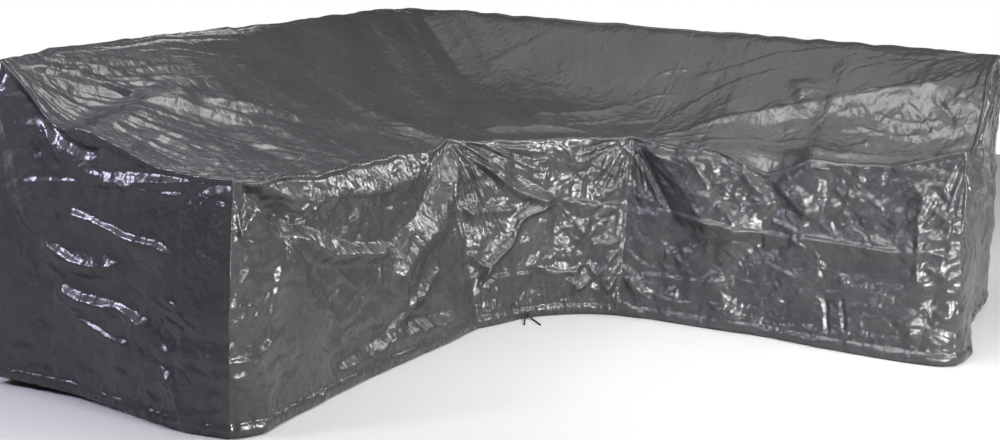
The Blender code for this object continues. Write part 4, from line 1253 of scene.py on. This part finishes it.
# name: (place, aim, (width, height), watts, colour, degrees that it spreads)
WHITE = (1.0, 1.0, 1.0)
LIGHTS = {
    "key": ((3.4, -1.5, 1.6), (-0.1, 0.1, 0.3), (0.8, 0.8), 160, (1.0, 0.99, 0.98), 180),
    "far right": ((3.3, 0.75, 2.7), (-0.2, 0.1, 0.4), (0.7, 0.7), 60, WHITE, 180),
    "before the right wall": ((2.3, -3.0, 1.9), (0.7, 0.4, 0.3), (0.6, 0.6), 7, WHITE, 40),
    "overhead": ((0.2, -0.4, 2.9), (0.2, -0.4, 0.0), (1.4, 1.4), 50, WHITE, 180),
    "over the back": ((0.5, 1.7, 1.7), (-0.43, -0.5, 0.5), (0.6, 0.6), 0.9, WHITE, 36),
    "behind, high on the left": ((-2.9, 2.3, 2.1), (-0.7, -0.5, 0.6), (1.0, 0.8), 6, WHITE, 180),
    "before the left end": ((-2.1, -2.6, 2.4), (-1.1, -1.1, 0.6), (0.5, 0.5), 8, (0.80, 0.74, 1.0), 60),
    "left fill": ((-4.2, -2.6, 1.1), (-0.9, -1.0, 0.4), (1.0, 1.0), 1.5, (0.74, 0.68, 1.0), 180),
    "behind": ((-3.0, 3.5, 0.7), (0.0, 0.0, 0.4), (1.5, 0.8), 14, WHITE, 180),
}
FLOOR_HALF_SIDE = 4.6
FLOOR_GREY = 0.46
# The sky's greys by the height that they are seen at, from the horizon to right overhead.
SKY = [(0.0, 0.2), (0.004, 0.016), (0.74, 0.016), (0.86, 0.22)]
SKY_STRENGTH = 5.0


def area_light(name, place, aim, size, power, colour, spread_degrees):
    """A rectangular lamp at its place that faces its aim."""
    data = bpy.data.lights.new(name, "AREA")
    data.shape = "RECTANGLE"
    data.size, data.size_y = size
    data.energy = power
    data.color = colour
    data.spread = math.radians(spread_degrees)
    lamp = placed(name, data)
    lamp.location = place
    lamp.rotation_euler = Vector(np.subtract(aim, place)).to_track_quat("-Z", "Y").to_euler()


def studio():
    """A pale floor, a dim sky that is brighter overhead, and the lights."""
    mesh = bpy.data.meshes.new("floor")
    side = FLOOR_HALF_SIDE
    corners = [(-side, -side, 0), (side, -side, 0), (side, side, 0), (-side, side, 0)]
    mesh.from_pydata(corners, [], [(0, 1, 2, 3)])
    floor = placed("floor", mesh)
    paint, _, shader = material_shader("pale floor")
    shader.inputs["Base Color"].default_value = (FLOOR_GREY, FLOOR_GREY, FLOOR_GREY, 1.0)
    shader.inputs["Roughness"].default_value = 0.9
    mesh.materials.append(paint)
    world = bpy.data.worlds.new("studio")
    bpy.context.scene.world = world
    world.use_nodes = True
    tree = world.node_tree
    sky = tree.nodes["Background"]
    places = shade(tree, "TexCoord", "Generated")
    height = shade(tree, "SeparateXYZ", "Z", places)
    greys = [(place, grey, grey, grey) for place, grey in SKY]
    tree.links.new(ramp(tree, height, *greys), sky.inputs["Color"])
    sky.inputs["Strength"].default_value = SKY_STRENGTH
    for name, row in LIGHTS.items():
        area_light(name, *row)
    bpy.context.scene.view_settings.view_transform = "Standard"


# The drawcord's free ends, as in part.py: which side of the knot, and rows of (metres along the
# slanted wall, metres outwards, height) from the knot.
CORD_DIAMETER = 0.005
KNOT_RADIUS = 0.009
KNOT_GAP = 0.0004
KNOT_SPAN = 4.2
KNOT_THICKNESS = 1.1
KNOT_POINTS = 72
TAIL_LEAVING = (0.65, 0.3, -0.7)
TAIL_POINTS = 25
TAILS = {
    "drawcord_tail_left": (-1, [(-0.011, 0.010, 0.0055), (-0.021, 0.032, 0.0029), (-0.035, 0.066, 0.0029)]),
    "drawcord_tail_right": (1, [(0.010, 0.012, 0.0055), (0.013, 0.040, 0.0029), (0.012, 0.080, 0.0029)]),
}


def curve_object(name, points, diameter, material, closed=False):
    """A round cord along these points."""
    curve = bpy.data.curves.new(name, "CURVE")
    curve.dimensions = "3D"
    curve.bevel_depth = diameter / 2
    curve.bevel_resolution = 4
    curve.use_fill_caps = not closed
    spline = curve.splines.new("POLY")
    spline.points.add(len(points) - 1)
    spline.use_cyclic_u = closed
    for spot, point in zip(spline.points, points):
        spot.co = (*point, 1.0)
    curve.materials.append(material)
    return placed(name, curve)


def tail_points(side, rows, knot_centre):
    """The line of a free end, from the knot's side down to the floor and out along it."""
    _, _, along, out = wall_frame("skirt_chamfer")
    leaving_along, leaving_out, leaving_up = TAIL_LEAVING
    leaving = np.array([*(leaving_along * side * along + leaving_out * out), leaving_up])
    corners = [knot_centre + (KNOT_RADIUS + KNOT_GAP) * leaving / np.linalg.norm(leaving)]
    for metres_along, metres_out, height in rows:
        corners.append([*(knot_centre[:2] + metres_along * along + metres_out * out), height])
    corners = np.array(corners)
    place = np.concatenate([[0.0], np.cumsum(np.linalg.norm(np.diff(corners, axis=0), axis=1))])
    return through(np.column_stack([place, corners]), np.linspace(0, place[-1], TAIL_POINTS))


def knot_points(centre):
    """The closed line of a small overhand knot, pulled tight against the hem."""
    _, _, along, out = wall_frame("skirt_chamfer")
    turn = np.linspace(0, 2 * math.pi, KNOT_POINTS, endpoint=False)
    across = np.sin(turn) + 2 * np.sin(2 * turn)
    up = np.cos(turn) - 2 * np.cos(2 * turn)
    size = KNOT_RADIUS / KNOT_SPAN
    points = size * across[:, None] * [*along, 0.0] + size * up[:, None] * [0.0, 0.0, 1.0]
    return centre + points - KNOT_THICKNESS * size * np.sin(3 * turn)[:, None] * [*out, 0.0]


def cords(material):
    """The drawcord's knot and its two free ends."""
    low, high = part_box("drawcord_knot")
    centre = (np.array(low) + np.array(high)) / 2
    knot = curve_object("knot", knot_points(centre), CORD_DIAMETER, material, closed=True)
    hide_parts("drawcord_knot")
    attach(knot, "root")
    for name, (side, rows) in TAILS.items():
        points = tail_points(side, rows, centre)
        tail = curve_object(name + "_cord", points, CORD_DIAMETER, material)
        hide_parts(name)
        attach(tail, "root")


camera()
studio()
cords(cord_finish())
CLOTH = build_cloth(cloth_finish())
for panel_name, cloth in CLOTH.items():
    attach(cloth, "root")
    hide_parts(panel_name)
